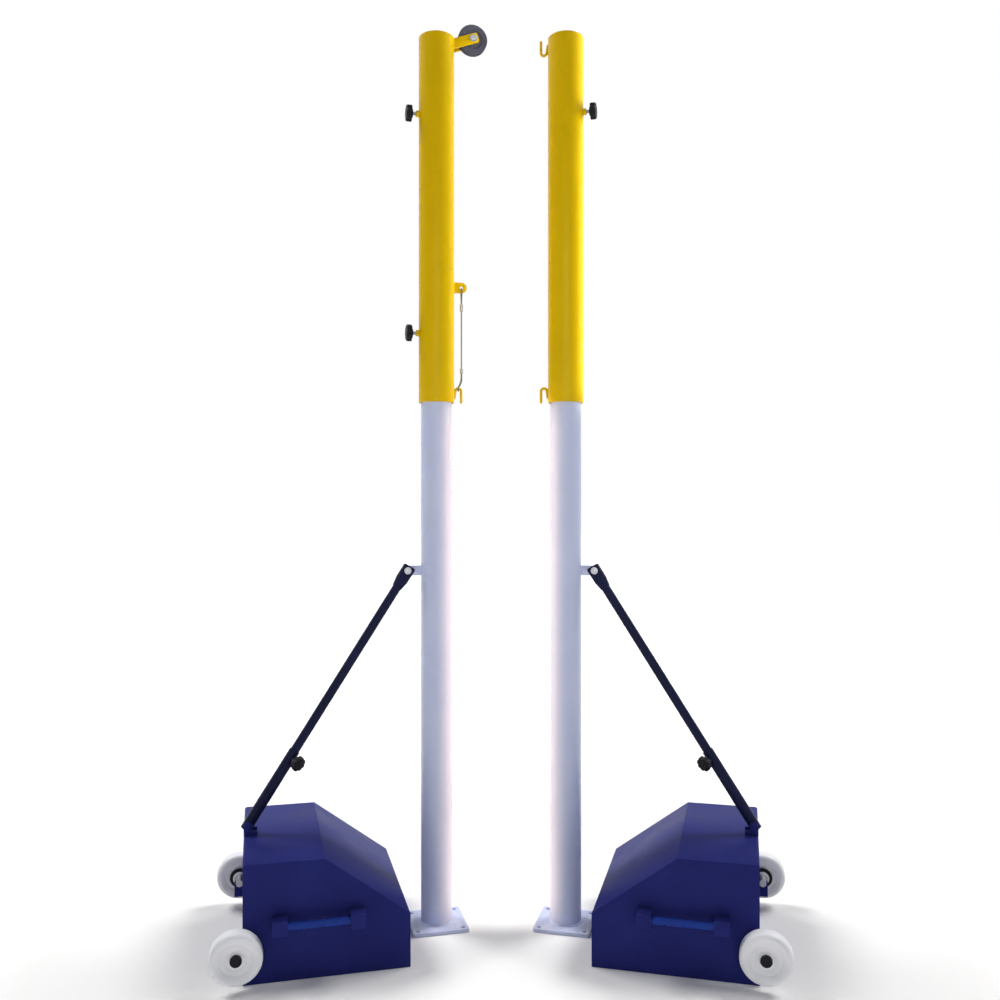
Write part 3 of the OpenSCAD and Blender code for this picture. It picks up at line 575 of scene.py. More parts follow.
def tube_profile(outer, inner, low, high, edge):
    """Profile of a tube whose outer rims are rounded and inner rims broken."""
    return [
        (inner, low + edge / 2),
        (inner + edge / 2, low),
        *arc((outer - edge, low + edge), edge, -90, 0, 4),
        *arc((outer - edge, high - edge), edge, 0, 90, 4),
        (inner + edge / 2, high),
        (inner, high - edge / 2),
    ]


def tube(outer, inner, low, high, edge, segments):
    return lathe(tube_profile(outer, inner, low, high, edge), segments)


def both_faces(half):
    """Profile of a wheel from that of its upper half, listed from the bore to the tread."""
    return half + [(r, -z) for r, z in reversed(half)]


# %% [markdown]
# ### Masts, sleeves and caps
# The tubes get true round rims. The sleeve's lower rim is the one that everybody looks into, so its
# saw cut is broken inside and out. The cap is a shallow lid, pressed in until its shoulder seats.

# %% Masts, sleeves and caps
for side in SIDES:
    mast = tube(MAST_R, MAST_R - MAST_WALL, PLATE_T, MAST_TOP, 0.6 * MM, ROUND)
    add_piece(f"mast_{side}", mast, f"mast_{side}", "white_paint", side, [f"mast_tube_{side}"])
    sleeve = tube(SLEEVE_R, SLEEVE_BORE, SLEEVE_BOTTOM, POST_H - CAP_T, 0.5 * MM, ROUND)
    add_piece(f"sleeve_tube_{side}", sleeve, f"sleeve_{side}", "yellow_paint", side, [f"sleeve_{side}"])
    cap_edge = 4 * MM
    cap = lathe(
        [
            (0, -CAP_T),
            (SLEEVE_BORE - 0.6 * MM, -CAP_T),
            (SLEEVE_BORE - 0.05 * MM, -CAP_T + MM),
            (SLEEVE_BORE - 0.05 * MM, 0),
            (SLEEVE_R - 0.4 * MM, 0),
            (SLEEVE_R, 0.4 * MM),
            *arc((SLEEVE_R - cap_edge, CAP_T - cap_edge), cap_edge, 10, 90, 8),
            (0.3 * SLEEVE_R, CAP_T),
            (0, CAP_T),
        ],
        ROUND,
    )
    put(cap, shift(z=POST_H - CAP_T))
    add_piece(f"cap_{side}", cap, f"sleeve_{side}", "yellow_paint", side, [f"sleeve_cap_{side}"])
print("tubes and caps made")

# %% [markdown]
# ### Wheels
# The wheels are solid nylon, turned from bar. The lathe leaves a raised hub, a shallow dish, a step at
# the rim and a very slightly crowned tread. The dark cap on the axle's end has a bevelled rim and a
# small pull-off dimple.

# %% Wheels, washers, collars and axle caps
WHEEL_R = 65 * MM
WHEEL_HALF = 22.5 * MM
WHEEL_EDGE = 11 * MM
AXLE_R = 10 * MM
AXLE_X = BOX_END_X - 15 * MM
AXLE_Z = WHEEL_R + 23 * MM
WHEEL_INNER_Y = BOX_HALF_W + 10 * MM
WASHER_T = 2.5 * MM
WASHER_R = 28 * MM
COLLAR_R = 19 * MM
CAP_DEPTH = 9 * MM
CAP_Y = WHEEL_INNER_Y + 41.3 * MM


def wheel_face():
    """Profile of one face, from the bore to the middle of the tread."""
    flank = WHEEL_R - WHEEL_EDGE
    return [
        (AXLE_R + 0.1 * MM, WHEEL_HALF - 4.4 * MM),
        (AXLE_R + 0.9 * MM, WHEEL_HALF - 4.0 * MM),
        (20.4 * MM, WHEEL_HALF - 4.0 * MM),
        (21.2 * MM, WHEEL_HALF - 4.6 * MM),
        (23.2 * MM, WHEEL_HALF - 4.6 * MM),
        (24.0 * MM, WHEEL_HALF - 4.0 * MM),
        (36.0 * MM, WHEEL_HALF - 2.7 * MM),
        (36.6 * MM, WHEEL_HALF - 3.1 * MM),
        (37.4 * MM, WHEEL_HALF - 3.1 * MM),
        (38.0 * MM, WHEEL_HALF - 2.5 * MM),
        (flank - 3 * MM, WHEEL_HALF - 0.4 * MM),
        *arc((flank, WHEEL_HALF - WHEEL_EDGE), WHEEL_EDGE, 96, 2, 12),
        (WHEEL_R, 4 * MM),
    ]


def axle_cap(inner):
    """Profile of the cap, whose bore stops short of its closed end."""
    outer = inner + 4.5 * MM
    return [
        (inner, 0),
        (outer - 0.3 * MM, 0),
        (outer, 0.3 * MM),
        (outer, CAP_DEPTH - 3 * MM),
        *arc((outer - 2.4 * MM, CAP_DEPTH - 2.4 * MM), 2.4 * MM, 10, 90, 6),
        (4.2 * MM, CAP_DEPTH),
        (3.2 * MM, CAP_DEPTH - 0.8 * MM),
        (0, CAP_DEPTH - 1.1 * MM),
        (0, CAP_DEPTH - 4.5 * MM),
        (inner, CAP_DEPTH - 4.5 * MM),
    ]


def axle_rings(side, flank, word):
    """Cap, washer and collar of one wheel."""
    inner = AXLE_R + 0.05 * MM
    washer_y = WHEEL_INNER_Y - 0.3 * MM - WASHER_T
    collar_y = BOX_HALF_W + MM
    washer = tube_profile(WASHER_R, inner, 0, WASHER_T, 0.4 * MM)
    collar = tube_profile(COLLAR_R, inner, 0, washer_y - collar_y, 0.6 * MM)
    for name, profile, y, slot, node in (
        ("cap", axle_cap(inner), CAP_Y, "black_plastic", "axle_end_caps"),
        ("washer", washer, washer_y, "black_plastic", "axle_washers"),
        ("collar", collar, collar_y, "zinc", "axle_collars"),
    ):
        shape = put(lathe(profile, 72), shift(AXLE_X, flank * y, AXLE_Z), spin(-90 * flank, "X"))
        add_piece(f"axle_{name}_{side}_{word}", shape, "base", slot, side, [node])


for side in SIDES:
    for flank, word in ((NEAR, "near"), (FAR, "far")):
        wheel = lathe(both_faces(wheel_face()), ROUND)
        put(wheel, shift(AXLE_X, flank * (WHEEL_INNER_Y + WHEEL_HALF), AXLE_Z), spin(90, "X"))
        node = f"wheel_{side}_{word}"
        add_piece("nylon_" + node, wheel, node, "nylon", side, [node])
        axle_rings(side, flank, word)
print("wheels made")

# %% [markdown]
# ## Threads, knobs and bolts
# A thread is a turned surface whose radius goes up and down once per pitch along a helix. It costs
# nothing but vertices, and a stud without one looks like a pencil.

# %% Threaded studs
PITCH = 1.5 * MM
ROWS_PER_TURN = 6


def threaded(radius, low, high):
    """A rod along Z with a helical thread and chamfered ends."""
    depth = 0.6 * PITCH
    rows = int((high - low) / PITCH * ROWS_PER_TURN)
    chamfer = 1.2 * MM

    def thread_radius(r, z, angle):
        phase = (z / PITCH - angle / (2 * math.pi)) % 1.0
        ridge = 1 - abs(2 * phase - 1)
        end = min(1.0, (z - low) / chamfer, (high - z) / chamfer)
        return r - depth * (1 - min(1.0, 1.5 * ridge)) - depth * (1 - max(0.0, end))

    profile = [(radius, low + (high - low) * i / rows) for i in range(rows + 1)]
    return lathe([(0, low), *profile, (0, high)], 24, thread_radius)


# %% [markdown]
# ### Lobed knobs
# The head has eight soft lobes, a crowned rim, a dished top and a flush plug over the stud's end. The
# lobes fade out towards the middle, as they do on a moulded grip.

# %% Lobed knobs
STUD_R = 5 * MM
LOBES = 8


def knob_head(knob_d, seat):
    """Moulded head from the height seat upwards."""
    rim = knob_d / 2
    top = seat + 21 * MM
    lobe_depth = 0.07 * knob_d

    def lobed(r, z, angle):
        valley = ((1 - math.cos(LOBES * angle)) / 2) ** 1.4
        reach = max(0.0, (r / rim - 0.55) / 0.45)
        return r - lobe_depth * valley * reach

    return lathe(
        [
            (STUD_R - 0.4 * MM, seat + 0.3 * MM),
            (0.235 * knob_d, seat),
            (0.25 * knob_d, seat + 0.5 * MM),
            (0.25 * knob_d, seat + 2.4 * MM),
            (0.28 * knob_d, seat + 3 * MM),
            (rim - 3 * MM, seat + 3 * MM),
            *arc((rim - 2.2 * MM, seat + 5.2 * MM), 2.2 * MM, -80, 0, 5),
            *arc((rim - 5.4 * MM, top - 7 * MM), 5.4 * MM, 0, 80, 8),
            (0.62 * rim, top - 1.1 * MM),
            (0.40 * rim, top - 1.5 * MM),
            (0.36 * rim, top - 1.5 * MM),
            (0.35 * rim, top - 2.1 * MM),
            (0.33 * rim, top - 2.1 * MM),
            (0.32 * rim, top - 1.4 * MM),
            (0, top - 0.9 * MM),
            (0, seat + 6 * MM),
            (STUD_R - 0.4 * MM, seat + 6 * MM),
        ],
        LOBES * 16,
        lobed,
    )


def clamp_screw(name, body, knob_d, tip, seat, side, place, node):
    """A threaded stud with its knob, both in place of one CAD node."""
    stud = put(threaded(STUD_R, tip, seat + 5 * MM), place)
    add_piece(f"{name}_stud", stud, body, "zinc", side, [node])
    head = put(knob_head(knob_d, seat), place)
    add_piece(f"{name}_head", head, body, "black_plastic", side, [node])


BOSS_R = 9 * MM
BOSS_H = 9 * MM


def clamp_boss(tube_r, root):
    """The drilled boss that a clamp screw turns in, drawn along +Z from a tube's axis."""
    top = tube_r + BOSS_H
    edge = 0.8 * MM
    return lathe(
        [
            (STUD_R + 0.1 * MM, root),
            (BOSS_R, root),
            (BOSS_R, top - edge),
            (BOSS_R - edge, top),
            (STUD_R + 0.1 * MM + edge, top),
            (STUD_R + 0.1 * MM, top - edge),
        ],
        48,
    )


SLEEVE_KNOB_D = 48 * MM
SLEEVE_KNOB_SEAT = SLEEVE_R + 18 * MM
STUD_GAP = 0.4 * MM
for name, (side, height) in KNOB_HEIGHTS.items():
    place = shift(z=height) @ spin(-90, "Y")
    clamp_screw(name, name, SLEEVE_KNOB_D, MAST_R + STUD_GAP, SLEEVE_KNOB_SEAT, side, place, name)

# %% [markdown]
# ### Along the strut
# The strut leans from its foot on the box to the lug on the mast. A matrix carries pieces that are
# drawn upright from its foot pivot into that direction, and another one on to its clamp.

# %% Strut frame and strut pieces
FOOT = Vector((BOX_END_X + 12 * MM, 0, BOX_H + 24 * MM))
LUG = Vector((-(MAST_R + 39.5 * MM), 0, 1012 * MM))
STRUT_LEN = (LUG - FOOT).length
STRUT_LEAN = math.degrees(math.atan2(LUG.x - FOOT.x, LUG.z - FOOT.z))
STRUT_INNER_R = 12.5 * MM
STRUT_BORE_R = 12.58 * MM
STRUT_OUTER_R = 14.98 * MM
CLAMP_AT = 210 * MM
LOWER_ENDS = (-13 * MM, CLAMP_AT + 22 * MM)
UPPER_ENDS = (75 * MM, STRUT_LEN - 58 * MM)
UPPER_BORE_R = 10.1 * MM
STRUT_KNOB_D = 42 * MM
along_strut = shift(*FOOT) @ spin(STRUT_LEAN, "Y")
at_clamp = along_strut @ shift(z=CLAMP_AT) @ spin(40, "Z") @ spin(90, "X")


def strut_tube(name, shape, part, side):
    """A tube in the darker copy of the navy paint, which is painted shade, riding on its own part of the
    strut, lower or upper.
    """
    node = f"strut_{part}_tube_{side}"
    add_piece(f"{name}_{side}", shape, f"strut_{part}_{side}", "navy_paint", side, [node], "strut_paint")


for side in SIDES:
    lower = tube(STRUT_OUTER_R, STRUT_BORE_R, *LOWER_ENDS, 0.7 * MM, 64)
    boss = clamp_boss(STRUT_OUTER_R, STRUT_INNER_R + MM)
    strut_tube("strut_outer_tube", joined([put(lower, along_strut), put(boss, at_clamp)]), "lower", side)
    upper = tube(STRUT_INNER_R, UPPER_BORE_R, *UPPER_ENDS, 0.4 * MM, 64)
    strut_tube("strut_inner_tube", put(upper, along_strut), "upper", side)
    knob, tip, seat = f"strut_knob_{side}", STRUT_INNER_R + STUD_GAP, STRUT_OUTER_R + 10 * MM
    clamp_screw(f"strut_clamp_{side}", knob, STRUT_KNOB_D, tip, seat, side, at_clamp, knob)
print("knobs:", count_named("_stud"), "strut leans", round(STRUT_LEAN, 1))

# %% [markdown]
# ### Hexagon bolts
# A hexagon head is cut from bar, and the corners are chamfered by a 30 degree cone. The height of the
# side therefore dips towards each corner, which is the curved line that one sees on a real bolt head.
# Under the head lies a plain washer, and the thread's end stands a little proud of the nut.

# %% Bolts
def hexagon(across_corners, low, high):
    """A hexagon prism with a chamfered upper end."""
    segments = 72
    flat = across_corners / 2 * math.cos(math.radians(30))
    top_r = 0.96 * flat
    shape = bmesh.new()
    rings = [[], [], []]
    for k in range(segments):
        a = 2 * math.pi * k / segments
        r = flat / math.cos((a + math.pi / 6) % (math.pi / 3) - math.pi / 6)
        edge = high - (r - top_r) * math.tan(math.radians(30))
        for ring, (radius, z) in zip(rings, ((r, low), (r, edge), (top_r, high))):
            ring.append(shape.verts.new((radius * math.cos(a), radius * math.sin(a), z)))
    skin(shape, rings[0], rings[1])
    skin(shape, rings[1], rings[2])
    shape.faces.new(rings[2])
    shape.faces.new(rings[0])
    bmesh.ops.recalc_face_normals(shape, faces=shape.faces)
    return shape


M10 = 10 * MM
M12 = 12 * MM


def bolt(d, grip):
    """Bolt along Z with its head up, nut down, and a washer under each."""
    across = 1.9 * d
    washer_t = 0.15 * d
    half = grip / 2
    head_top = half + 0.65 * d
    nut_end = half + 0.8 * d
    shank = lathe([(0, -half - washer_t), (d / 2, -half - washer_t), (d / 2, half), (0, half)], 48)
    washers = [
        tube(1.02 * d, d / 2, half, half + washer_t, 0.15 * MM, 48),
        tube(1.02 * d, d / 2, -half - washer_t, -half, 0.15 * MM, 48),
    ]
    head = hexagon(across, half + washer_t, head_top)
    nut = put(hexagon(across, half + washer_t, nut_end), spin(180, "X"))
    end = threaded(d / 2, -nut_end - 0.2 * d, -half - washer_t)
    return joined([shank, *washers, head, nut, end])


def cross_bolt(name, d, grip, place, body, side, nodes, slot="zinc"):
    shape = put(bolt(d, grip), shift(*place), spin(90, "X"))
    add_piece(name, shape, body, slot, side, nodes)


HINGE = (HINGE_X, 0, HINGE_Z)
HINGE_GRIP = 77 * MM
HEAD_GRIP = 20 * MM
ARM_Y = 13.5 * MM
ARM_T = 5 * MM
ARM_Z = POST_H - 15 * MM
ARM_REACH = 54 * MM
ARM_SLOPE = math.radians(20)
PULLEY = (SLEEVE_R + ARM_REACH, 0, ARM_Z + ARM_REACH * math.tan(ARM_SLOPE))
STRUT_FOOT_GRIP = 2 * (STRUT_OUTER_R + 6 * MM)
for side in SIDES:
    foot_bolt, hinge_bolt, head_bolt = f"foot_bolt_{side}", f"hinge_bolt_{side}", f"head_bolt_{side}"
    cross_bolt(foot_bolt, M10, STRUT_FOOT_GRIP, FOOT, "base", side, ["strut_foot_bolts"], "navy_paint")
    cross_bolt(hinge_bolt, M12, HINGE_GRIP, HINGE, "base", side, ["foot_hinge_pins"])
    cross_bolt(head_bolt, M10, HEAD_GRIP, LUG, f"strut_upper_{side}", side, ["strut_" + head_bolt])
cross_bolt("pulley_pin", M10, 2 * ARM_Y + ARM_T, PULLEY, "sleeve_left", LEFT, ["pulley_bolt"])
print("objects with bolt in their name, CAD nodes included:", count_named("bolt"))

# %% [markdown]
# ### Pulley
# A dark moulded wheel with a round-bottomed groove, thin webs between hub and rim, and a raised hub.

# %% Pulley
PULLEY_R = 42.5 * MM
groove_r = 5 * MM
web_low, web_high = 17 * MM, 25.5 * MM
half_pulley = [
    (5.1 * MM, 9.4 * MM),
    (5.7 * MM, 10 * MM),
    (14.4 * MM, 10 * MM),
    (15 * MM, 9.4 * MM),
    (web_low, 7 * MM),
    (web_high, 7 * MM),
    (27.5 * MM, 9.4 * MM),
    (28.1 * MM, 10 * MM),
    (PULLEY_R - 1.2 * MM, 10 * MM),
    *arc((PULLEY_R - 1.2 * MM, 8.8 * MM), 1.2 * MM, 80, 0, 4),
    (PULLEY_R - 0.4 * MM, 7.6 * MM),
    (PULLEY_R - 3.5 * MM, 5.6 * MM),
    *arc((PULLEY_R - 8 * MM + groove_r, 0), groove_r, 118, 175, 6),
]
pulley = put(lathe(both_faces(half_pulley), ROUND), shift(*PULLEY), spin(90, "X"))
add_piece("pulley_turned", pulley, "pulley", "slate_plastic", LEFT, ["pulley_wheel"])

# %% [markdown]
# ## Bent wire, cord and weld beads
# The same idea three times: a round section carried along a path. A rotation-minimising frame keeps
# the section from twisting. The radius may change along the way, which gives domed wire ends, the
# ripple of a weld bead and the strands of a wire rope.

# %% Sweep
def sweep(path, radius, sides):
    """A solid along a path. radius is a number, or a function of the distance and the angle."""
    points = [Vector(p) for p in path]
    closed = (points[0] - points[-1]).length < 1e-7
    if closed:
        points.pop()
    shape = bmesh.new()
    across = (points[1] - points[0]).orthogonal().normalized()
    distance = 0.0
    rings = []
    for i, point in enumerate(points):
        if closed:
            ahead = points[(i + 1) % len(points)] - points[i - 1]
        else:
            ahead = points[min(i + 1, len(points) - 1)] - points[max(i - 1, 0)]
        across = (across - across.project(ahead)).normalized()
        other = ahead.normalized().cross(across)
        if i:
            distance += (point - points[i - 1]).length
        ring = []
        for k in range(sides):
            a = 2 * math.pi * k / sides
            r = radius(distance, a) if callable(radius) else radius
            ring.append(shape.verts.new(point + r * (math.cos(a) * across + math.sin(a) * other)))
        rings.append(ring)
    for first, second in zip(rings, rings[1:]):
        skin(shape, first, second)
    if closed:
        skin(shape, rings[-1], rings[0])
    else:
        shape.faces.new(rings[0])
        shape.faces.new(rings[-1])
    bmesh.ops.recalc_face_normals(shape, faces=shape.faces)
    return shape


def path_length(path):
    return sum((Vector(b) - Vector(a)).length for a, b in zip(path, path[1:]))


def fine(path, step):
    """The same path with points no more than one step apart."""
    points = [Vector(path[0])]
    for a, b in zip(path, path[1:]):
        a, b = Vector(a), Vector(b)
        count = max(1, math.ceil((b - a).length / step))
        points += [a.lerp(b, (i + 1) / count) for i in range(count)]
    return points


def domed(radius, length):
    """Radius of a wire whose two ends are rounded over."""
    def at(distance, angle):
        end = min(distance, length - distance, radius) / radius
        return max(0.12 * radius, radius * math.sqrt(max(0.0, 1 - (1 - end) ** 2)))
    return at


# %% [markdown]
# ### Net hooks
# Each hook is 8 mm wire: a leg welded along the sleeve, a half-round bend and a free leg with a
# rounded tip, which the loop of the net is pushed over.

# %% Net hooks
WIRE_R = 4 * MM
BEND_R = 8.6 * MM
HOOK_X = SLEEVE_R + 0.05 * MM + WIRE_R + BEND_R
FREE_LEG = 35 * MM
WELD_LEG = 23 * MM


def net_hook(name, side, bend_z, up):
    """A hook whose bend starts at bend_z and whose legs point up (1) or down (-1)."""
    bend = [(HOOK_X + x, 0, bend_z + up * z) for x, z in arc((0, 0), BEND_R, 180, 360, 16)]
    start = (bend[0][0], 0, bend_z + up * WELD_LEG)
    end = (bend[-1][0], 0, bend_z + up * FREE_LEG)
    path = [start, *bend]
    for before_tip in (3.2, 2.4, 1.7, 1.1, 0.6, 0.25, 0.05):
        path.append((end[0], 0, end[2] - up * before_tip * MM))
    wire = sweep(path, domed(WIRE_R, path_length(path)), 20)
    add_piece(f"{name}_wire", wire, f"sleeve_{side}", "yellow_paint", side, [name])


net_hook("net_hook_left", LEFT, SLEEVE_BOTTOM + FREE_LEG, -1)
net_hook("net_hook_right_lower", RIGHT, SLEEVE_BOTTOM + FREE_LEG, -1)
net_hook("net_hook_right_upper", RIGHT, POST_H - FREE_LEG, 1)

# %% [markdown]
# ### Tension cord
# A steel rope, 4 mm thick, is looped through the lug's eye and round the lower hook; each loop is
# closed by a pressed ferrule. Six strands show as soft ridges that wind along the rope. The route is
# the same as the CAD's. One end of each loop is the running part, and the other is the short tail.

# %% Tension cord
CORD_R = 2 * MM
LUG_X = SLEEVE_R + 22 * MM
LUG_Z = SLEEVE_BOTTOM + 333 * MM
EYE_BEND = CORD_R + 0.3 * MM
EYE_TOP = LUG_Z - 5 * MM + EYE_BEND
UPPER_FERRULE = LUG_Z - 47 * MM
LOWER_FERRULE = SLEEVE_BOTTOM + 101 * MM
UPPER_L, LOWER_L = 20 * MM, 14 * MM
STRAND_Y = CORD_R + 0.15 * MM
HOOK_LOOP_R = WIRE_R + CORD_R + 0.8 * MM
HOOK_TOP = SLEEVE_BOTTOM + FREE_LEG + BEND_R


def eye_side(flank):
    """Route from the eye's middle down to the upper ferrule on one flank."""
    points = [(0, EYE_TOP), *arc((4 * MM, EYE_TOP - EYE_BEND), EYE_BEND, 90, 0, 3)]
    points += [
        (4 * MM + EYE_BEND, LUG_Z - 19 * MM),
        (STRAND_Y + 0.6 * MM, UPPER_FERRULE + 12 * MM),
        (STRAND_Y, UPPER_FERRULE + 4 * MM),
        (STRAND_Y, UPPER_FERRULE),
    ]
    return [(LUG_X, flank * y, z) for y, z in points]


def hook_side(flank):
    """Route from the lower ferrule down to the hook's wire on one flank."""
    top = LOWER_FERRULE - LOWER_L
    return [
        (LUG_X, flank * STRAND_Y, top),
        (LUG_X, flank * STRAND_Y, top - 4 * MM),
        (LUG_X, flank * (STRAND_Y + 0.6 * MM), top - 8 * MM),
        (LUG_X, flank * (STRAND_Y + HOOK_LOOP_R) / 2, top - 16 * MM),
        (LUG_X - MM, flank * (HOOK_LOOP_R - 0.6 * MM), top - 24 * MM),
        (HOOK_X + 4 * MM, flank * HOOK_LOOP_R, HOOK_TOP + 9.2 * MM),
        (HOOK_X + MM, flank * HOOK_LOOP_R, HOOK_TOP + 4 * MM),
        (HOOK_X, flank * HOOK_LOOP_R, HOOK_TOP),
    ]


def under_hook(flank):
    """Route from the hook's flank to the middle under its wire."""
    return [(HOOK_X, flank * y, z) for y, z in arc((0, HOOK_TOP), HOOK_LOOP_R, -30, -90, 2)]


def stranded(distance, angle):
    """Radius of a six-strand rope with a lay length of 28 mm."""
    wind = 2 * math.pi * distance / (28 * MM)
    return CORD_R * (0.86 + 0.14 * abs(math.cos(3 * (angle + wind))))


ferrule_low = UPPER_FERRULE - UPPER_L
running = eye_side(NEAR) + [(LUG_X, 0, ferrule_low + 4 * MM)]
running += [tuple(p) for p in fine([(LUG_X, 0, ferrule_low), (LUG_X, 0, LOWER_FERRULE)], 30 * MM)]
running += hook_side(NEAR) + under_hook(NEAR)
place = unit_matrix(LEFT)


def rope(name, route):
    """A stranded rope along a route of the left unit."""
    shape = sweep(fine(route, 1.2 * MM), stranded, 24)
    return add_piece(name, shape, "sleeve_left", "zinc", LEFT, ["tension_cord"], "rope_steel")


cord = rope("tension_rope", running)
tails = [
    rope("tension_rope_upper_tail", eye_side(FAR)),
    rope("tension_rope_lower_tail", hook_side(FAR) + under_hook(FAR)),
]


def ferrule(name, top, length):
    """A pressed sleeve on the cord, with three waists where the tool closed it."""
    full, waist, chamfer = 5 * MM, 4.55 * MM, 0.8 * MM
    profile = [(0, 0), (full - chamfer, 0), (full, chamfer)]
    for i in range(3):
        middle = length * (i + 1) / 4
        for r, dz in ((full, -1.6), (waist, -0.9), (waist, 0.9), (full, 1.6)):
            profile.append((r, middle + dz * MM))
    profile += [(full, length - chamfer), (full - chamfer, length), (0, length)]
    shape = put(lathe(profile, 32), shift(LUG_X, 0, top - length))
    return add_piece(name, shape, "sleeve_left", "zinc", LEFT, ["tension_ferrules"])


ferrules = [
    ferrule("ferrule_upper", UPPER_FERRULE, UPPER_L),
    ferrule("ferrule_lower", LOWER_FERRULE, LOWER_L),
]
print("tension cord:", round(path_length(running), 3), "m")

# %% [markdown]
# ### Weld beads
# Where steel meets steel there is a fillet: a bead laid in small overlapping scales and painted over.
# A bead is a sweep whose radius swells once per scale, half sunk in the corner that it fills.

# %% Weld beads
SCALE_PITCH = 2.6 * MM
BEAD_LIFT = 0.2 * MM


def bead(path, radius):
    """A weld bead along a path, tapering at both ends unless the path is closed."""
    route = fine(path, 0.6 * MM)
    length = path_length(route)
    closed = (route[0] - route[-1]).length < 1e-6

    def scaled(distance, angle):
        ripple = 1 + 0.11 * abs(math.sin(math.pi * distance / SCALE_PITCH))
        wander = 1 + 0.05 * math.sin(distance / (9 * MM) * 2 * math.pi + 1.3)
        taper = 1.0 if closed else min(1.0, 0.35 + min(distance, length - distance) / (2.5 * MM))
        return radius * ripple * wander * taper

    return sweep(route, scaled, 10)


def on_tube(tube_r, y):
    """Distance from a round tube's axis to its surface, at the distance y from its middle plane."""
    return math.sqrt(tube_r * tube_r - y * y)


def two_beads(x, half_gap, low, high, radius):
    """Upright beads on both sides of a piece that is welded to a tube."""
    return [bead([(x, y, low), (x, y, high)], radius) for y in (-half_gap, half_gap)]


def boss_bead(z):
    """The bead round a boss, along the line where it meets the sleeve's -X side."""
    ring = arc((0, 0), BOSS_R + 0.3 * MM, 0, 360, 36)
    return bead([(-on_tube(SLEEVE_R, y), y, z + dz) for y, dz in ring], 1.5 * MM)


def mast_welds():
    """Beads round the mast's foot, at the strut's lug and at the tongue."""
    ring = arc((0, 0), MAST_R + 0.6 * MM, 0, 360, 72)
    foot = bead([(x, y, PLATE_T + 0.6 * MM) for x, y in ring], 2.6 * MM)
    lug_x = -(on_tube(MAST_R, 5 * MM) + BEAD_LIFT)
    lug = two_beads(lug_x, 5 * MM, LUG.z - 14 * MM, LUG.z + 14 * MM, 2.0 * MM)
    z = PLATE_T - 0.4 * MM
    tongue = bead([(-PLATE_HALF, -30 * MM, z), (-PLATE_HALF, 30 * MM, z)], 1.8 * MM)
    return joined([foot, *lug, tongue])


HANDLE_X = -347 * MM
HANDLE_REACH = 96.5 * MM
BRACKET_HALF = 19 * MM
BRACKET_LOW, BRACKET_HIGH = 132 * MM, 168 * MM


def bracket_beads(middle, y):
    """Four beads round the foot of a handle bracket."""
    left, right = middle - BRACKET_HALF, middle + BRACKET_HALF
    corners = [(left, BRACKET_LOW), (right, BRACKET_LOW), (right, BRACKET_HIGH), (left, BRACKET_HIGH)]
    path = [(x, y, z) for x, z in corners + corners[:1]]
    return [bead([a, b], 1.7 * MM) for a, b in zip(path, path[1:])]


def box_welds():
    """Beads at the strut's foot ears and round the handle brackets."""
    beads = []
    z = BOX_H + 0.3 * MM
    for flank in FLANKS:
        y = flank * STRUT_FOOT_GRIP / 2
        beads.append(bead([(FOOT.x - 11 * MM, y, z), (FOOT.x + 24 * MM, y, z)], 1.8 * MM))
    for flank in FLANKS:
        for end in (-1, 1):
            beads += bracket_beads(HANDLE_X + end * HANDLE_REACH, flank * (BOX_HALF_W + 0.3 * MM))
    return joined(beads)


def sleeve_welds(side, boss_heights):
    """Beads at a sleeve's bosses and hooks, and on the left at the cord's lug and the pulley's arms."""
    beads = [boss_bead(z) for z in boss_heights]
    hooks = [SLEEVE_BOTTOM + 12 * MM]
    if side == RIGHT:
        hooks.append(POST_H - FREE_LEG)
    for low in hooks:
        beads += two_beads(SLEEVE_R + 0.5 * MM, 2.6 * MM, low, low + WELD_LEG, 1.5 * MM)
    if side == LEFT:
        for gap, low, high, radius in (
            (4 * MM, LUG_Z - 15 * MM, LUG_Z + 15 * MM, 1.8 * MM),
            (ARM_Y + ARM_T / 2, ARM_Z - 15 * MM, ARM_Z + 9 * MM, 1.6 * MM),
        ):
            beads += two_beads(on_tube(SLEEVE_R, gap) + BEAD_LIFT, gap, low, high, radius)
    return joined(beads)


for side in SIDES:
    boss_heights = [height for knob_side, height in KNOB_HEIGHTS.values() if knob_side == side]
    add_piece(f"mast_welds_{side}", mast_welds(), f"mast_{side}", "white_paint", side)
    add_piece(f"box_welds_{side}", box_welds(), "base", "navy_paint", side)
    sleeve_beads = sleeve_welds(side, boss_heights)
    add_piece(f"sleeve_welds_{side}", sleeve_beads, f"sleeve_{side}", "yellow_paint", side)
    for i, z in enumerate(boss_heights):
        boss = put(clamp_boss(SLEEVE_R, SLEEVE_R - MM), shift(z=z) @ spin(-90, "Y"))
        node = "knob_bosses_left" if side == LEFT else "knob_boss_right"
        add_piece(f"boss_{side}_{i}", boss, f"sleeve_{side}", "yellow_paint", side, [node])
print("weld pieces:", count_named("_welds_"))

# %% [markdown]
# ## Camera
# The photograph was taken from the middle between the posts, 1.2 m above the floor and 2.8 m in front
# of them, with a normal lens held level. The small shift keeps the verticals upright and puts the
# picture's middle where the photographer had it.

# %% Camera
CAMERA_BACK = 2.805
CAMERA_HEIGHT = 1.196
camera_data = bpy.data.cameras.new("camera")
camera_data.sensor_width = 36.0
camera_data.lens = 35.26
camera_data.shift_x = -0.0011
camera_data.shift_y = 0.0058
camera_data.clip_end = 90.0
camera = bpy.data.objects.new("camera", camera_data)
camera.location = (0.0, mast_y - CAMERA_BACK, CAMERA_HEIGHT)
camera.rotation_euler = (math.radians(90), 0.0, 0.0)
scene.collection.objects.link(camera)
scene.camera = camera

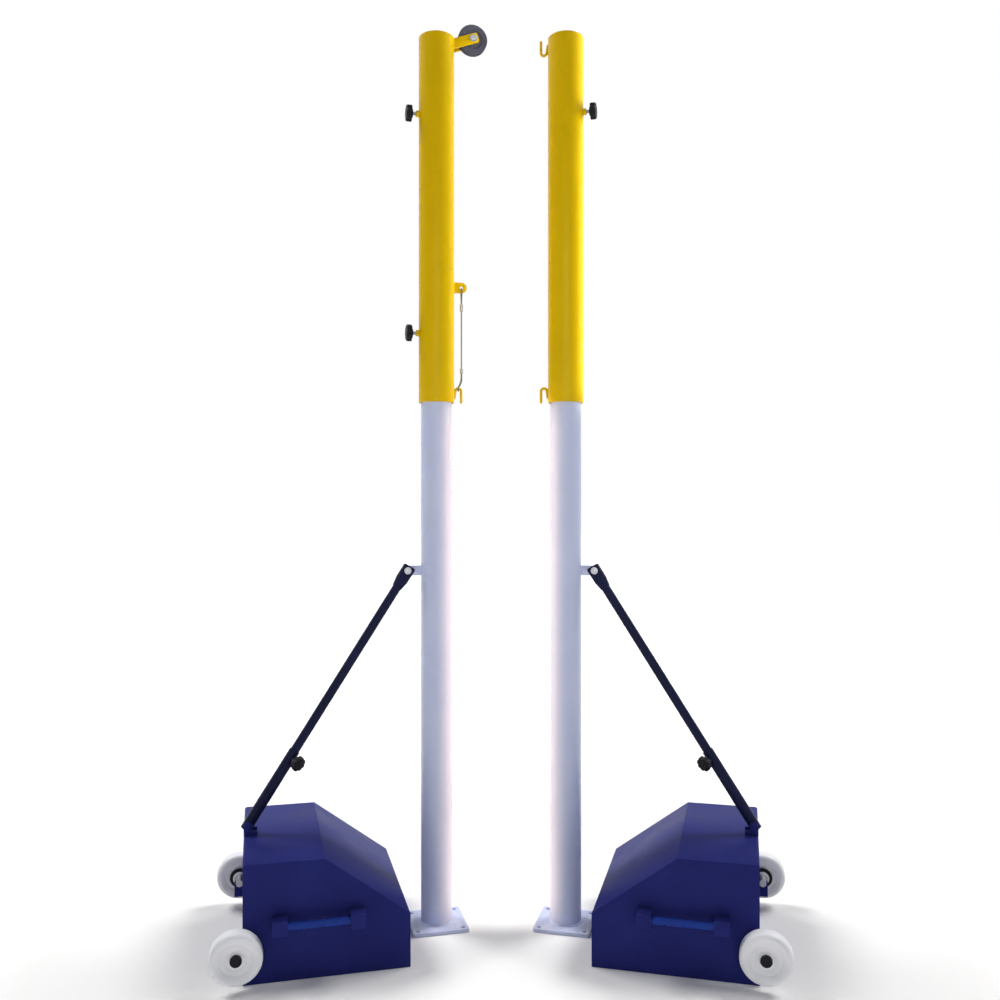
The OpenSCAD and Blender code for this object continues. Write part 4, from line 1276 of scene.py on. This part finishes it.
# %% [markdown]
# ## Floor and backdrop
# A catalogue photograph has a floor that runs into a white backdrop, with only the soft shadows left.
# The floor is one large flat sheet. It is white by its own colour, and a glow that only the camera and
# reflections see grows with the distance from the posts, so that the far floor melts into the white
# world while the shadow at the posts stays.

# %% Floor
GLOW_NEAR = 0.04
GLOW_FAR = 0.3
GLOW_FROM = 1.2
GLOW_TO = 2.0


def white_ground():
    """White floor with a glow that only the camera and reflections see, stronger away from the posts."""
    material, tree, shader = new_material("studio_floor")
    shader.inputs["Base Color"].default_value = (0.95, 0.94, 0.92, 1.0)
    shader.inputs["Roughness"].default_value = 0.9
    shader.inputs["Specular IOR Level"].default_value = 0.1
    from_posts = tree.nodes.new("ShaderNodeVectorMath")
    from_posts.operation = "LENGTH"
    tree.links.new(object_place(tree), from_posts.inputs[0])
    away = stretch(tree, from_posts.outputs["Value"], GLOW_FROM, GLOW_TO)
    ray = tree.nodes.new("ShaderNodeLightPath")
    seen = math_node(tree, "MAXIMUM", ray.outputs["Is Camera Ray"], ray.outputs["Is Glossy Ray"])
    strength = math_node(tree, "ADD", math_node(tree, "MULTIPLY", away, GLOW_FAR - GLOW_NEAR), GLOW_NEAR)
    glow = tree.nodes.new("ShaderNodeEmission")
    tree.links.new(math_node(tree, "MULTIPLY", strength, seen), glow.inputs["Strength"])
    both = tree.nodes.new("ShaderNodeAddShader")
    tree.links.new(shader.outputs[0], both.inputs[0])
    tree.links.new(glow.outputs[0], both.inputs[1])
    tree.links.new(both.outputs[0], tree.nodes["Material Output"].inputs["Surface"])
    return material


FLOOR_HALF = 40.0
floor_shape = bmesh.new()
bmesh.ops.create_grid(floor_shape, x_segments=4, y_segments=4, size=FLOOR_HALF)
floor_mesh = bpy.data.meshes.new("floor")
floor_shape.to_mesh(floor_mesh)
floor_shape.free()
floor_mesh.materials.append(white_ground())
floor = bpy.data.objects.new("floor", floor_mesh)
scene.collection.objects.link(floor)

# %% [markdown]
# ## Light
# A pale world and two high, soft suns light the floor evenly, so that it melts into the backdrop and
# only the soft shadows are left, one on each side of a box. A weak panel fills in from the front. Tall,
# narrow strips stand beside the posts: warm ones give both masts a bright edge on the inside, and pale
# ones give both sleeves a bright edge on their right. The other sides keep the cool light of the world,
# which is what makes the white paint look lilac there.

# %% World and lamps
world = bpy.data.worlds.new("studio")
scene.world = world
world.use_nodes = True
tree = world.node_tree
sky = tree.nodes["Background"]
sky.inputs["Color"].default_value = (0.84, 0.87, 1.0, 1.0)
sky.inputs["Strength"].default_value = 0.12
white = tree.nodes.new("ShaderNodeBackground")
white.inputs["Color"].default_value = (1, 1, 1, 1)
white.inputs["Strength"].default_value = 1.0
ray = tree.nodes.new("ShaderNodeLightPath")
direct = math_node(tree, "MAXIMUM", ray.outputs["Is Camera Ray"], ray.outputs["Is Transmission Ray"])
direct = math_node(tree, "MAXIMUM", direct, ray.outputs["Is Glossy Ray"])
choose = tree.nodes.new("ShaderNodeMixShader")
tree.links.new(direct, choose.inputs[0])
tree.links.new(sky.outputs[0], choose.inputs[1])
tree.links.new(white.outputs[0], choose.inputs[2])
tree.links.new(choose.outputs[0], tree.nodes["World Output"].inputs["Surface"])


def add_lamp(name, data, place, aim):
    """A lamp that looks at a point and isn't seen itself."""
    lamp = bpy.data.objects.new(name, data)
    lamp.location = place
    lamp.rotation_mode = "QUATERNION"
    lamp.rotation_quaternion = (Vector(aim) - Vector(place)).to_track_quat("-Z", "Y")
    lamp.visible_camera = False
    scene.collection.objects.link(lamp)
    return lamp


def panel(name, place, aim, size, power, colour):
    """A rectangular lamp with its power in watts."""
    data = bpy.data.lights.new(name, "AREA")
    data.shape = "RECTANGLE"
    data.size, data.size_y = size
    data.energy = power
    data.color = colour
    return add_lamp(name, data, place, aim)


MIDDLE = (0.0, 0.0, 1.2)
for facing, name in ((-1, "left_sun"), (1, "right_sun")):
    sun_data = bpy.data.lights.new(name, "SUN")
    sun_data.energy = 1.8
    sun_data.angle = math.radians(26)
    add_lamp(name, sun_data, (3.4 * facing, 1.8, 5.0), (0, 0, 0))
panel("front_panel", (0.2, -4.2, 2.0), MIDDLE, size=(2.2, 2.2), power=27, colour=(0.97, 0.98, 1.0))

WARM = (1.0, 0.68, 0.38)
PALE = (0.95, 1.0, 0.7)
MAST_SPAN = (0.02, 1.48)
SLEEVE_SPAN = (1.5, 2.62)
STRIP_WIDTH = 0.04
STRIP_SPREAD = math.radians(70)


def strip(name, x, facing, span, depth, power, colour):
    """A tall, narrow lamp beside a post, facing along X, which reflections don't show.

    span is its lowest and highest point, depth its distance behind the plane of the masts' axes, and
    power its watts per metre.
    """
    low, high = span
    height = high - low
    place = (x, mast_y + depth, low + height / 2)
    aim = (x + facing, mast_y + depth, low + height / 2)
    lamp = panel(name, place, aim, (STRIP_WIDTH, height), power * height, colour)
    lamp.data.spread = STRIP_SPREAD
    lamp.visible_glossy = False


for side, facing in ((LEFT, -1), (RIGHT, 1)):
    x = 0.01 * facing
    strip(f"{side}_mast_strip", x, facing, MAST_SPAN, depth=-0.03, power=0.28, colour=WARM)
strip("left_sleeve_strip", -0.01, -1, SLEEVE_SPAN, depth=-0.005, power=0.21, colour=PALE)
strip("right_sleeve_strip", 0.36, -1, SLEEVE_SPAN, depth=-0.005, power=0.5, colour=PALE)

# %% View settings
scene.view_settings.view_transform = "Standard"
